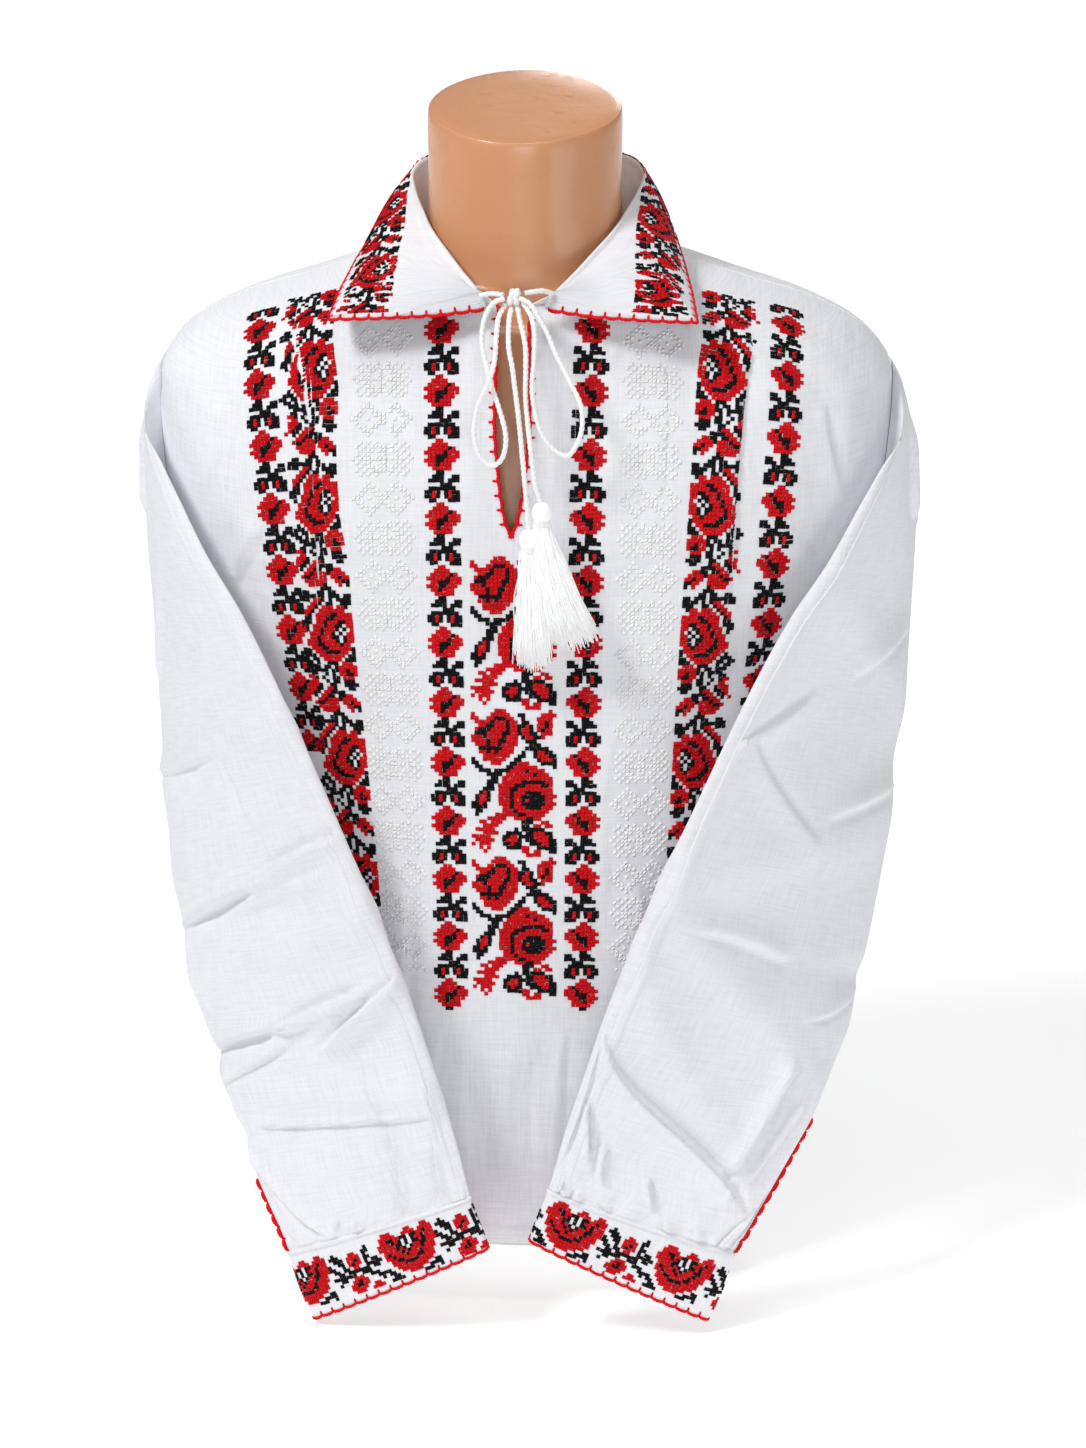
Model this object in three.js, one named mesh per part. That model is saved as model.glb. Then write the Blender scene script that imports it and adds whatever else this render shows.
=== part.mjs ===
// An embroidered folk shirt on a limbless dress form.
// Millimetres, +Z up, front towards -Y, origin on the floor under the neck.
import * as THREE from 'three';
import { mergeVertices } from 'three/addons/utils/BufferGeometryUtils.js';

// ---- driving sizes -------------------------------------------------------------------------
const CLOTH = 1.2;            // wall of every cloth piece
const SEAM = 0.3;             // clearance left between two pieces
const NECK_WIDTH = 130;       // the dress form's neck
const SLIT_BOTTOM_Z = 554;
const SLIT_X = -2.5;          // the opening hangs a little to one side
const CUFF_HALF_PLAY = 0.9;   // half of the distance between a cuff's two ends
const TIE_DIAMETER = 3.5;

const COLOURS = {
  cloth: 0xf1f2f6,
  form: 0xd89a6c,
  tie: 0xf7f7f5,
};

// ---- section tables ------------------------------------------------------------------------
// The body of the shirt, hem to neckline: height at the side, front and back, half width, where
// the side lies, how far it reaches to the front and back, how square it is, and half of the
// armhole's opening at that height.
const BODY = [
  { side: 42, front: 47, back: 42, half: 170, mid: 2, ahead: -125, behind: 116, square: 2.3, arm: 0 },
  { side: 122, front: 127, back: 122, half: 173, mid: 2, ahead: -126, behind: 117, square: 2.3, arm: 0 },
  { side: 212, front: 217, back: 212, half: 178, mid: 2, ahead: -127, behind: 118, square: 2.3, arm: 0 },
  { side: 302, front: 304, back: 302, half: 186, mid: 2, ahead: -128, behind: 120, square: 2.35, arm: 0 },
  { side: 382, front: 382, back: 382, half: 196, mid: 3, ahead: -129, behind: 122, square: 2.4, arm: 0 },
  { side: 444, front: 444, back: 444, half: 212, mid: 4, ahead: -129, behind: 123, square: 2.45, arm: 0 },
  { side: 484, front: 479, back: 484, half: 228, mid: 4, ahead: -129, behind: 123, square: 2.5, arm: 30 },
  { side: 524, front: 517, back: 524, half: 240, mid: 4, ahead: -128, behind: 122, square: 2.55, arm: 42 },
  { side: 567, front: 554, back: 567, half: 247, mid: 4, ahead: -127, behind: 120, square: 2.6, arm: 46 },
  { side: 606, front: 590, back: 606, half: 250, mid: 4, ahead: -122, behind: 117, square: 2.6, arm: 38 },
  { side: 634, front: 620, back: 637, half: 250, mid: 4, ahead: -116, behind: 112, square: 2.5, arm: 20 },
  { side: 654, front: 644, back: 664, half: 247, mid: 5, ahead: -110, behind: 105, square: 2.4, arm: 0 },
  { side: 677, front: 662, back: 686, half: 228, mid: 6, ahead: -105, behind: 98, square: 2.3, arm: 0 },
  { side: 695, front: 677, back: 703, half: 193, mid: 8, ahead: -100, behind: 91, square: 2.25, arm: 0 },
  { side: 707, front: 688, back: 718, half: 152, mid: 10, ahead: -96, behind: 84, square: 2.2, arm: 0 },
  { side: 719, front: 696, back: 732, half: 112, mid: 12, ahead: -93, behind: 77, square: 2.15, arm: 0 },
  { side: 732, front: 702, back: 745, half: 79, mid: 14, ahead: -90, behind: 71, square: 2.1, arm: 0 },
];

// Half of the neck opening's width, by height.
const SLIT = [
  { z: SLIT_BOTTOM_Z, half: 0 },
  { z: 566, half: 4.6 },
  { z: 582, half: 7.6 },
  { z: 604, half: 10.2 },
  { z: 626, half: 12 },
  { z: 664, half: 11.5 },
  { z: 704, half: 10.5 },
];

// The dress form, base to neck.
const FORM = [
  { z: 0, half: 108, mid: 29, ahead: -34, behind: 92, square: 2.2, tilt: 0 },
  { z: 38, half: 108, mid: 29, ahead: -34, behind: 92, square: 2.2, tilt: 0 },
  { z: 44, half: 150, mid: 4, ahead: -100, behind: 96, square: 2.2, tilt: 0 },
  { z: 54, half: 156, mid: 4, ahead: -106, behind: 101, square: 2.2, tilt: 0 },
  { z: 142, half: 158, mid: 4, ahead: -109, behind: 103, square: 2.2, tilt: 0 },
  { z: 242, half: 154, mid: 4, ahead: -106, behind: 100, square: 2.2, tilt: 0 },
  { z: 332, half: 164, mid: 4, ahead: -108, behind: 104, square: 2.25, tilt: 0 },
  { z: 422, half: 180, mid: 4, ahead: -112, behind: 109, square: 2.3, tilt: 0 },
  { z: 492, half: 192, mid: 4, ahead: -112, behind: 110, square: 2.35, tilt: 0 },
  { z: 552, half: 202, mid: 4, ahead: -109, behind: 108, square: 2.4, tilt: 0 },
  { z: 602, half: 208, mid: 4, ahead: -101, behind: 104, square: 2.35, tilt: 0 },
  { z: 646, half: 209, mid: 5, ahead: -90, behind: 97, square: 2.25, tilt: 0 },
  { z: 680, half: 200, mid: 6, ahead: -80, behind: 88, square: 2.15, tilt: 2 },
  { z: 692.5, half: 180, mid: 8, ahead: -73, behind: 80, square: 2.1, tilt: 6 },
  { z: 706.4, half: 144, mid: 10, ahead: -70, behind: 73, square: 2.05, tilt: 10 },
  { z: 718, half: 106, mid: 8, ahead: -69, behind: 66, square: 2, tilt: 10.5 },
  { z: 726, half: 75, mid: 4, ahead: -69, behind: 61, square: 2, tilt: 14 },
  { z: 742, half: NECK_WIDTH / 2 + 1, mid: -2, ahead: -68, behind: 59, square: 2, tilt: 10 },
  { z: 782, half: NECK_WIDTH / 2, mid: -4, ahead: -68, behind: 59, square: 2, tilt: 8 },
  { z: 817, half: NECK_WIDTH / 2, mid: -4, ahead: -68, behind: 60, square: 2, tilt: 16 },
  { z: 822, half: NECK_WIDTH / 2 - 2.4, mid: -4, ahead: -65, behind: 57, square: 2, tilt: 17 },
  { z: 823.5, half: NECK_WIDTH / 2 - 8, mid: -4, ahead: -59, behind: 51, square: 2, tilt: 16 },
];

// One sleeve as a flat tube hanging from the armhole: its front fold, its back fold, and how far
// the middle of its outer and inner faces stand off from the line between the two folds.
const SLEEVE = [
  { fx: 249, fy: -42, fz: 570, bx: 249, by: 50, bz: 570, ox: 1.5, oy: 0, oz: 78, ix: -37, iy: 0, iz: -126 },
  { fx: 253, fy: -54, fz: 602, bx: 256, by: 62, bz: 598, ox: 4, oy: 0, oz: 32, ix: -32, iy: 0, iz: -172 },
  { fx: 243, fy: -76, fz: 598, bx: 259, by: 76, bz: 584, ox: 13, oy: 0, oz: 10, ix: -24, iy: 0, iz: -166 },
  { fx: 226, fy: -95, fz: 572, bx: 263, by: 82, bz: 548, ox: 19, oy: -4, oz: 4, ix: -16, iy: 3, iz: -150 },
  { fx: 206, fy: -112, fz: 538, bx: 265, by: 80, bz: 504, ox: 22, oy: -8, oz: 3, ix: -9, iy: 4, iz: -122 },
  { fx: 182, fy: -128, fz: 504, bx: 266, by: 72, bz: 454, ox: 21, oy: -12, oz: 3, ix: -7, iy: 5, iz: -84 },
  { fx: 162, fy: -140, fz: 468, bx: 265, by: 56, bz: 404, ox: 18, oy: -14, oz: 3, ix: -8, iy: 6, iz: -46 },
  { fx: 143, fy: -149, fz: 428, bx: 261, by: 32, bz: 354, ox: 15, oy: -14, oz: 3, ix: -9, iy: 8, iz: -20 },
  { fx: 124, fy: -156, fz: 384, bx: 256, by: 4, bz: 306, ox: 13, oy: -14, oz: 3, ix: -9, iy: 9, iz: -8 },
  { fx: 104, fy: -160, fz: 336, bx: 247, by: -26, bz: 260, ox: 11, oy: -14, oz: 2, ix: -8, iy: 9, iz: -4 },
  { fx: 84, fy: -164, fz: 286, bx: 236, by: -58, bz: 218, ox: 9, oy: -14, oz: 1, ix: -7, iy: 10, iz: -2 },
  { fx: 66, fy: -167, fz: 236, bx: 222, by: -90, bz: 180, ox: 7, oy: -13, oz: 0, ix: -5, iy: 10, iz: 0 },
  { fx: 50, fy: -169, fz: 184, bx: 204, by: -118, bz: 142, ox: 5, oy: -12, oz: 0, ix: -3, iy: 9, iz: 0 },
  { fx: 39, fy: -171, fz: 146, bx: 183, by: -138, bz: 102, ox: 3, oy: -10, oz: 0, ix: -2, iy: 8, iz: 0 },
  { fx: 32, fy: -172, fz: 116, bx: 164, by: -151, bz: 68, ox: 2, oy: -7, oz: 0, ix: -1.5, iy: 7, iz: 0 },
  { fx: 29, fy: -172.5, fz: 104, bx: 156.5, by: -157, bz: 52, ox: 2, oy: -6, oz: 0, ix: -1, iy: 6, iz: 0 },
];

const CUFF = [
  { fx: 29, fy: -173, fz: 103, bx: 157, by: -157.5, bz: 51, ox: 2, oy: -8, oz: 0, ix: -2, iy: 8, iz: 0 },
  { fx: 22.5, fy: -174, fz: 85, bx: 149, by: -159, bz: 27, ox: 2, oy: -8.5, oz: 0, ix: -2, iy: 8.5, iz: 0 },
  { fx: 16.5, fy: -175, fz: 68, bx: 140, by: -161, bz: 4, ox: 2, oy: -8, oz: 0, ix: -2, iy: 8, iz: 0 },
];

// The sleeve's larger creases: where each crosses the outer face (0 is the shoulder, 1 the cuff),
// how far that shifts from the front fold to the back one, its width and its depth.
const SLEEVE_CREASES = {
  left: [
    { at: 0.475, slant: 0.05, wide: 0.022, deep: 4.2 },
    { at: 0.6, slant: -0.06, wide: 0.02, deep: 3.6 },
    { at: 0.655, slant: 0.03, wide: 0.018, deep: 4.4 },
    { at: 0.735, slant: 0.07, wide: 0.02, deep: 3.4 },
    { at: 0.79, slant: -0.05, wide: 0.018, deep: 3.8 },
  ],
  right: [
    { at: 0.36, slant: 0.16, wide: 0.03, deep: 3.2 },
    { at: 0.56, slant: -0.12, wide: 0.028, deep: 3.4 },
    { at: 0.7, slant: 0.22, wide: 0.024, deep: 4.6 },
    { at: 0.8, slant: 0.3, wide: 0.022, deep: 4.2 },
  ],
};
// How far each cuff end hangs higher and nearer the middle than the tables say, and how far the
// back fold is tucked in above it.
const HANG = {
  left: { lift: 0, inwards: 0, tuck: 7 },
  right: { lift: 6.5, inwards: 5, tuck: -3 },
};
const TUCK = { at: 0.76, wide: 0.11 };
const GATHERS = { waves: 9, deep: 2.2, from: 0.86 };
const PLACKET = { from: 0.885, half: 1 };
const FOLD_BLUNTNESS = 0.85;  // below 1, a flat tube's folds are rounded more fully

// The folded collar, front end to centre back: how far round the neckline it is sewn (1 is the
// centre back), its fold, and the outer edge of its leaf.
const COLLAR = [
  { sewn: 0, fx: 26, fy: -94, fz: 713.5, ex: 18, ey: -101, ez: 702 },
  { sewn: 0.09, fx: 37, fy: -80, fz: 723, ex: 50, ey: -107, ez: 698.5 },
  { sewn: 0.19, fx: 50, fy: -60, fz: 735, ex: 86, ey: -111, ez: 697 },
  { sewn: 0.31, fx: 61, fy: -38, fz: 745, ex: 117, ey: -108, ez: 695.5 },
  { sewn: 0.43, fx: 69, fy: -14, fz: 755, ex: 113, ey: -70, ez: 709 },
  { sewn: 0.55, fx: 76, fy: 10, fz: 765, ex: 107, ey: -26, ez: 723 },
  { sewn: 0.67, fx: 79, fy: 34, fz: 774, ex: 101, ey: 18, ez: 734 },
  { sewn: 0.79, fx: 69, fy: 57, fz: 781, ex: 88, ey: 58, ez: 744 },
  { sewn: 0.9, fx: 39, fy: 73, fz: 785, ex: 50, ey: 88, ez: 749 },
  { sewn: 1, fx: 0, fy: 78, fz: 787, ex: 0, ey: 98, ez: 751 },
];
const LEFT_LEAF = 1.045;       // the left leaf lies spread a little wider
const COLLAR_FOLD = 2.2;       // radius of the collar's fold line
const STAND_TOP = 0.3;         // the collar's stand ends here, as a share of the way across
const LEAF_TOP = 0.5;          // its leaf starts here, after the fold
const LEAF_BELLY = 5;          // how far the leaf bulges upwards between fold and edge

// The tie, point by point: short stubs from the collar's ends, a flat knot, two bows and two ends.
const TIE = {
  stub_left: [
    [-23.5, -101, 710.5], [-16.5, -106, 712.5], [-8.1, -109.9, 712.3],
  ],
  stub_right: [
    [23, -100.2, 711.8], [16.5, -106, 714.5], [5.9, -110.1, 713.6],
  ],
  loop_left: [
    [-7.1, -116.9, 711.1], [-14, -119, 708.5], [-19.5, -121.5, 699], [-21, -126, 684.5],
    [-18, -130, 670.5], [-15, -133, 658.5], [-9.5, -136.5, 643.5], [-5, -139, 626],
    [-7, -140, 612], [-14, -140.5, 606.5], [-21.5, -140.5, 612], [-25.5, -140, 627],
    [-23, -139.5, 644.5], [-16.5, -138.5, 659.5], [-12.5, -135, 673], [-11.5, -130, 688],
    [-10.5, -120, 699.5], [-6.7, -113.9, 706.9],
  ],
  loop_right: [
    [3.1, -118.2, 711.6], [10.5, -121, 707.5], [20, -123, 692], [27.5, -127, 675.5],
    [36.5, -133, 659.5], [43.5, -137, 644.5], [43.5, -139.5, 628], [36, -140, 614],
    [27, -140, 616.5], [18.5, -139.5, 627.5], [14, -139, 641.5], [12, -138, 657],
    [13, -134.5, 674.5], [13, -129, 690], [10.5, -122, 700.5], [5.1, -114.8, 708.1],
  ],
  end_left: [
    [-2.7, -113.9, 704.8], [-4, -119.5, 696], [-3.5, -130, 682], [-1, -134, 669.5],
    [1, -137, 655.5], [3.5, -140, 636.5], [5.5, -141.5, 616], [7.5, -142.5, 594.5],
    [10, -143.2, 565],
  ],
  end_right: [
    [1.3, -113.8, 705], [3.5, -118.5, 696], [7, -126, 682], [7.5, -130.5, 667.5],
    [7.5, -134.5, 650], [9.5, -139, 631], [12, -142, 611], [14.5, -143, 594], [18, -143.5, 583.2],
  ],
};
const KNOT = { x: -1, y: -112, z: 711.2, width: 15, depth: 11, height: 13 };
const TASSEL_HEAD = { x: 5.6, y: 5, z: 7 };
const TASSELS = [
  { name: 'tassel_left', x: 10.2, y: -143.5, z: 557.5, length: 74, lean: 0.02, spread: 12 },
  { name: 'tassel_right', x: 18.5, y: -144, z: 575.7, length: 82, lean: 0.2, spread: 20 },
];

// ---- small helpers -------------------------------------------------------------------------
const clamp = THREE.MathUtils.clamp;
const signedPower = (value, power) => Math.sign(value) * Math.abs(value) ** power;
const bell = (offset, width) => Math.exp(-((offset / width) ** 2));

// A smooth read of a table of rows at a place between 0 and 1.
function readTable(rows, place) {
  const spot = clamp(place, 0, 1) * (rows.length - 1);
  const row = Math.min(Math.floor(spot), rows.length - 2);
  const rest = spot - row;
  const at = (index) => rows[clamp(index, 0, rows.length - 1)];
  const result = {};
  for (const name of Object.keys(rows[0])) {
    const [a, b, c, d] = [at(row - 1)[name], at(row)[name], at(row + 1)[name], at(row + 2)[name]];
    const bend = 2 * a - 5 * b + 4 * c - d + (3 * (b - c) + d - a) * rest;
    result[name] = b + 0.5 * rest * (c - a + rest * bend);
  }
  return result;
}

// A straight read of the same rows, which keeps a corner at each of them.
function readStraight(rows, place) {
  const spot = clamp(place, 0, 1) * (rows.length - 1);
  const row = Math.min(Math.floor(spot), rows.length - 2);
  const [low, high] = [rows[row], rows[row + 1]];
  const names = Object.keys(low);
  return Object.fromEntries(names.map((name) => [
    name, THREE.MathUtils.lerp(low[name], high[name], spot - row),
  ]));
}

// A linear read of a table ordered by z.
function readByHeight(rows, z, name) {
  const above = rows.findIndex((row) => row.z >= z);
  if (above < 0) return rows[rows.length - 1][name];
  if (above === 0) return rows[0][name];
  const [low, high] = [rows[above - 1], rows[above]];
  return THREE.MathUtils.mapLinear(z, low.z, high.z, low[name], high[name]);
}

// A closed cloth wall from a surface: grid points on its outer face, and the same points moved
// inwards by the wall. Equal points are merged, and every free edge gets a rim.
function clothShell(surface, patches) {
  const points = [];
  const inner = [];
  const faces = [];
  for (const patch of patches) {
    const first = points.length;
    for (let row = 0; row <= patch.rows; row += 1) {
      for (let column = 0; column <= patch.columns; column += 1) {
        const [u, v] = patch.map(column / patch.columns, row / patch.rows);
        const point = surface(u, v);
        points.push(point);
        inner.push(point.clone().addScaledVector(surfaceNormal(surface, u, v), -CLOTH));
      }
    }
    const width = patch.columns + 1;
    for (let row = 0; row < patch.rows; row += 1) {
      for (let column = 0; column < patch.columns; column += 1) {
        const a = first + row * width + column;
        const quad = [a, a + 1, a + width + 1, a + width];
        faces.push([quad[0], quad[1], quad[2]], [quad[0], quad[2], quad[3]]);
      }
    }
  }
  return closedWall(points, inner, faces);
}

function surfaceNormal(surface, u, v) {
  const step = 1e-4;
  const along = surface(u + step, v).sub(surface(u - step, v));
  const up = surface(u, v + step).sub(surface(u, v - step));
  return along.cross(up).normalize();
}

function closedWall(points, inner, faces) {
  const keys = new Map();
  const welded = points.map((point, index) => {
    const key = point.toArray().map((value) => Math.round(value * 1e4)).join(',');
    if (!keys.has(key)) keys.set(key, index);
    return keys.get(key);
  });
  const outer = faces.map((face) => face.map((index) => welded[index]));
  const solid = outer.filter(([a, b, c]) => a !== b && b !== c && c !== a);
  const edges = new Map();
  for (const [a, b, c] of solid) {
    for (const [from, to] of [[a, b], [b, c], [c, a]]) edges.set(`${from},${to}`, [from, to]);
  }
  const positions = [];
  const push = (...corners) => corners.forEach((corner) => positions.push(...corner.toArray()));
  for (const [a, b, c] of solid) {
    push(points[a], points[b], points[c]);
    push(inner[a], inner[c], inner[b]);
  }
  for (const [from, to] of edges.values()) {
    if (edges.has(`${to},${from}`)) continue;
    push(points[from], inner[from], inner[to]);
    push(points[from], inner[to], points[to]);
  }
  return weld(positions);
}

function weld(positions) {
  const geometry = new THREE.BufferGeometry();
  geometry.setAttribute('position', new THREE.Float32BufferAttribute(positions, 3));
  const merged = mergeVertices(geometry, 1e-4);
  merged.computeVertexNormals();
  return merged;
}

// A closed solid from a stack of rings with equal counts, capped flat at both ends.
function stackedRings(rings) {
  const positions = [];
  const push = (...corners) => corners.forEach((corner) => positions.push(...corner.toArray()));
  const count = rings[0].length;
  const centre = (ring) => ring.reduce((sum, p) => sum.add(p), new THREE.Vector3()).divideScalar(count);
  const [bottom, top] = [rings[0], rings[rings.length - 1]];
  for (let index = 0; index < count; index += 1) {
    const next = (index + 1) % count;
    for (let level = 0; level < rings.length - 1; level += 1) {
      const [low, high] = [rings[level], rings[level + 1]];
      push(low[index], low[next], high[next]);
      push(low[index], high[next], high[index]);
    }
    push(centre(bottom), bottom[next], bottom[index]);
    push(centre(top), top[index], top[next]);
  }
  return weld(positions);
}

const group = new THREE.Group();

function addMesh(name, geometry, colour, roughness) {
  const material = new THREE.MeshStandardMaterial({ color: colour, roughness, metalness: 0 });
  const mesh = new THREE.Mesh(geometry, material);
  mesh.name = name;
  group.add(mesh);
}

// ---- the body of the shirt -----------------------------------------------------------------
// A point on the body: turn runs from the left side (0) over the front (0.25), the right side
// (0.5) and the back (0.75), and place from the hem (0) to the neckline (1).
function bodySurface(turn, place) {
  const row = readTable(BODY, place);
  const angle = turn * 2 * Math.PI;
  const across = signedPower(Math.cos(angle), 2 / row.square);
  const depth = Math.abs(Math.sin(angle)) ** (2 / row.square);
  const facesFront = Math.sin(angle) > 0;
  const reach = facesFront ? row.ahead - row.mid : row.behind - row.mid;
  const drop = facesFront ? row.front - row.side : row.back - row.side;
  const height = row.side + drop * depth ** 1.5;
  const point = new THREE.Vector3(-row.half * across, row.mid + reach * depth, height);
  return addBodyFolds(point, turn, place);
}

// The shirt's larger upright folds: the turn of the middle, the places where each starts and
// ends, its width as a turn and its depth.
const BODY_FOLDS = [
  { turn: 0.14, low: 0.3, high: 0.98, wide: 0.016, deep: 2.8 },
  { turn: 0.098, low: 0.42, high: 0.86, wide: 0.016, deep: 2.4 },
  { turn: 0.362, low: 0.3, high: 0.96, wide: 0.016, deep: 2.6 },
  { turn: 0.405, low: 0.4, high: 0.88, wide: 0.016, deep: 2.4 },
  { turn: 0.62, low: 0.05, high: 0.8, wide: 0.02, deep: 4 },
  { turn: 0.695, low: 0.02, high: 0.7, wide: 0.022, deep: 3.4 },
  { turn: 0.8, low: 0.02, high: 0.76, wide: 0.022, deep: 3.6 },
  { turn: 0.88, low: 0.05, high: 0.8, wide: 0.02, deep: 4.2 },
  { turn: 0.2, low: -0.2, high: 0.3, wide: 0.02, deep: 3 },
  { turn: 0.31, low: -0.2, high: 0.28, wide: 0.02, deep: 3 },
];

function addBodyFolds(point, turn, place) {
  let depth = 0;
  for (const fold of BODY_FOLDS) {
    const fade = clamp((place - fold.low) / 0.12, 0, 1) * clamp((fold.high - place) / 0.12, 0, 1);
    const round = turn - Math.floor(turn);
    depth += fold.deep * fade * fade * (3 - 2 * fade) * bell(round - fold.turn, fold.wide);
  }
  const outwards = new THREE.Vector3(point.x, point.y, 0).normalize();
  return point.addScaledVector(outwards, depth);
}

// The turn at which a panel's edge lies a given distance in front of or behind the side.
function edgeTurn(place, extra, front) {
  const row = readTable(BODY, place);
  const reach = Math.abs(front ? row.ahead - row.mid : row.behind - row.mid);
  const open = Math.max(row.arm, 0) + extra;
  return Math.asin(clamp(open / reach, 0, 1) ** (row.square / 2)) / (2 * Math.PI);
}

// The turn of the opening's edge, which lies half of its width beside the centre.
function slitTurn(place, side) {
  const row = readTable(BODY, place);
  const height = row.front;
  const half = height <= SLIT_BOTTOM_Z ? 0 : readByHeight(SLIT, height, 'half');
  const x = SLIT_X + side * half;
  const across = Math.acos(signedPower(clamp(-x / row.half, -1, 1), row.square / 2));
  return across / (2 * Math.PI);
}

const FRONT_COLUMNS = 13;
const BACK_COLUMNS = 20;

// Grid rows up the body: one a section below the underarm, and two a section above it.
const UNDERARM_ROW = BODY.findIndex((row) => row.arm > 0) - 1;
const SHOULDER_ROW = BODY.findLastIndex((row) => row.arm > 0) + 1;
const BODY_PLACES = [];
for (let row = 0; row < BODY.length - 1; row += 1) {
  BODY_PLACES.push(row / (BODY.length - 1));
  if (row >= UNDERARM_ROW) BODY_PLACES.push((row + 0.5) / (BODY.length - 1));
}
BODY_PLACES.push(1);
const BODY_ROWS = BODY_PLACES.length - 1;
const bodyPlace = (fraction) => BODY_PLACES[Math.round(fraction * BODY_ROWS)];

function frontPanel() {
  const half = (side) => ({
    rows: BODY_ROWS,
    columns: FRONT_COLUMNS,
    map: (across, fraction) => {
      const place = bodyPlace(fraction);
      const edge = edgeTurn(place, SEAM / 2, true);
      const slit = slitTurn(place, side);
      return side < 0
        ? [THREE.MathUtils.lerp(edge, slit, across), place]
        : [THREE.MathUtils.lerp(slit, 0.5 - edge, across), place];
    },
  });
  return clothShell(bodySurface, [half(-1), half(1)]);
}

function backPanel() {
  const whole = {
    rows: BODY_ROWS,
    columns: BACK_COLUMNS,
    map: (across, fraction) => {
      const place = bodyPlace(fraction);
      const edge = edgeTurn(place, SEAM / 2, false);
      return [THREE.MathUtils.lerp(0.5 + edge, 1 - edge, across), place];
    },
  };
  return clothShell(bodySurface, [whole]);
}

// ---- the dress form ------------------------------------------------------------------------
function formSolid() {
  const RINGS = 26;
  const rings = FORM.map((row) => {
    const ring = [];
    for (let index = 0; index < RINGS; index += 1) {
      const angle = (index / RINGS) * 2 * Math.PI;
      const across = signedPower(Math.cos(angle), 2 / row.square);
      const depth = signedPower(Math.sin(angle), 2 / row.square);
      const reach = depth < 0 ? row.mid - row.ahead : row.behind - row.mid;
      ring.push(new THREE.Vector3(row.half * across, row.mid + reach * depth, row.z + row.tilt * depth));
    }
    return ring;
  });
  return stackedRings(rings);
}

// ---- sleeves and cuffs ---------------------------------------------------------------------
// A point on a flat tube: turn 0 is the back fold, 0.25 the middle of the outer face, 0.5 the
// front fold and 0.75 the middle of the inner face.
function tubePoint(row, turn) {
  const angle = turn * 2 * Math.PI;
  const front = new THREE.Vector3(row.fx, row.fy, row.fz);
  const back = new THREE.Vector3(row.bx, row.by, row.bz);
  const middle = front.clone().add(back).multiplyScalar(0.5);
  const half = back.clone().sub(front).multiplyScalar(0.5);
  const rise = Math.sin(angle);
  const face = rise > 0
    ? new THREE.Vector3(row.ox, row.oy, row.oz)
    : new THREE.Vector3(row.ix, row.iy, row.iz);
  const fullness = Math.abs(rise) ** FOLD_BLUNTNESS;
  return middle.addScaledVector(half, Math.cos(angle)).addScaledVector(face, fullness);
}

// The edge of the armhole on the right of the shirt, read by the sleeve's own turn.
function armholeEdge(turn) {
  const angle = turn * 2 * Math.PI;
  const row = THREE.MathUtils.mapLinear(Math.sin(angle), -1, 1, UNDERARM_ROW, SHOULDER_ROW);
  const place = row / (BODY.length - 1);
  const front = Math.cos(angle) < 0;
  const edge = edgeTurn(place, 0, front);
  return bodySurface(front ? 0.5 - edge : 0.5 + edge, place);
}

// The sleeve leaves the armhole's edge and turns into the flat tube over its first rows.
function sleeveSurface(creases, hang) {
  return (turn, place) => {
    const row = readTable(SLEEVE, place);
    row.bx -= hang.tuck * bell(place - TUCK.at, TUCK.wide);
    const point = tubePoint(row, turn);
    point.add(new THREE.Vector3(-hang.inwards, 0, hang.lift).multiplyScalar(place ** 2));
    const joined = clamp(1 - place / ARMHOLE_BLEND, 0, 1) ** 2;
    const edge = armholeEdge(turn).add(new THREE.Vector3(SEAM + place * ARMHOLE_FLARE, 0, 0));
    point.lerp(edge, joined);
    const face = Math.sin(turn * 2 * Math.PI);
    const outwards = new THREE.Vector3(row.ox, row.oy, row.oz * 0.2).normalize();
    const across = Math.abs(turn - 0.5) * 2;
    const fullness = Math.abs(face) ** 0.5;
    let depth = 0;
    for (const crease of creases) {
      const line = crease.at + crease.slant * (across - 0.5);
      depth += crease.deep * bell(place - line, crease.wide) * fullness;
    }
    const gathering = clamp((place - GATHERS.from) / (1 - GATHERS.from), 0, 1);
    depth += GATHERS.deep * gathering * Math.cos(turn * 4 * Math.PI * GATHERS.waves) * fullness;
    return point.addScaledVector(outwards, Math.sign(face) * depth);
  };
}

const ARMHOLE_BLEND = 0.1;     // the share of its length in which a sleeve leaves the armhole
const ARMHOLE_FLARE = 60;      // how steeply it does, as a run over the whole sleeve
const SLEEVE_COLUMNS = 32;
const SLEEVE_ROWS = 20;

// The turn that lies a given distance from a flat tube's back fold.
function turnBesideFold(row, distance) {
  const depth = (Math.hypot(row.ox, row.oy, row.oz) + Math.hypot(row.ix, row.iy, row.iz)) / 2;
  return (distance / depth) ** (1 / FOLD_BLUNTNESS) / (2 * Math.PI);
}

// The placket is a narrow slit that starts at its own place, down the back fold to the cuff.
function placketTurn(place) {
  const opened = clamp((place - PLACKET.from) / (1 - PLACKET.from) * 3, 0, 1);
  return opened === 0 ? 0 : turnBesideFold(readTable(SLEEVE, place), PLACKET.half * opened);
}

function sleeveSolid(creases, hang) {
  const surface = sleeveSurface(creases, hang);
  const around = (turn, place) => surface(turn - Math.floor(turn), place);
  const tube = {
    rows: SLEEVE_ROWS,
    columns: SLEEVE_COLUMNS,
    map: (across, place) => {
      const gap = placketTurn(place);
      return [THREE.MathUtils.lerp(gap, 1 - gap, across), place];
    },
  };
  return clothShell(around, [tube]);
}

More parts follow.
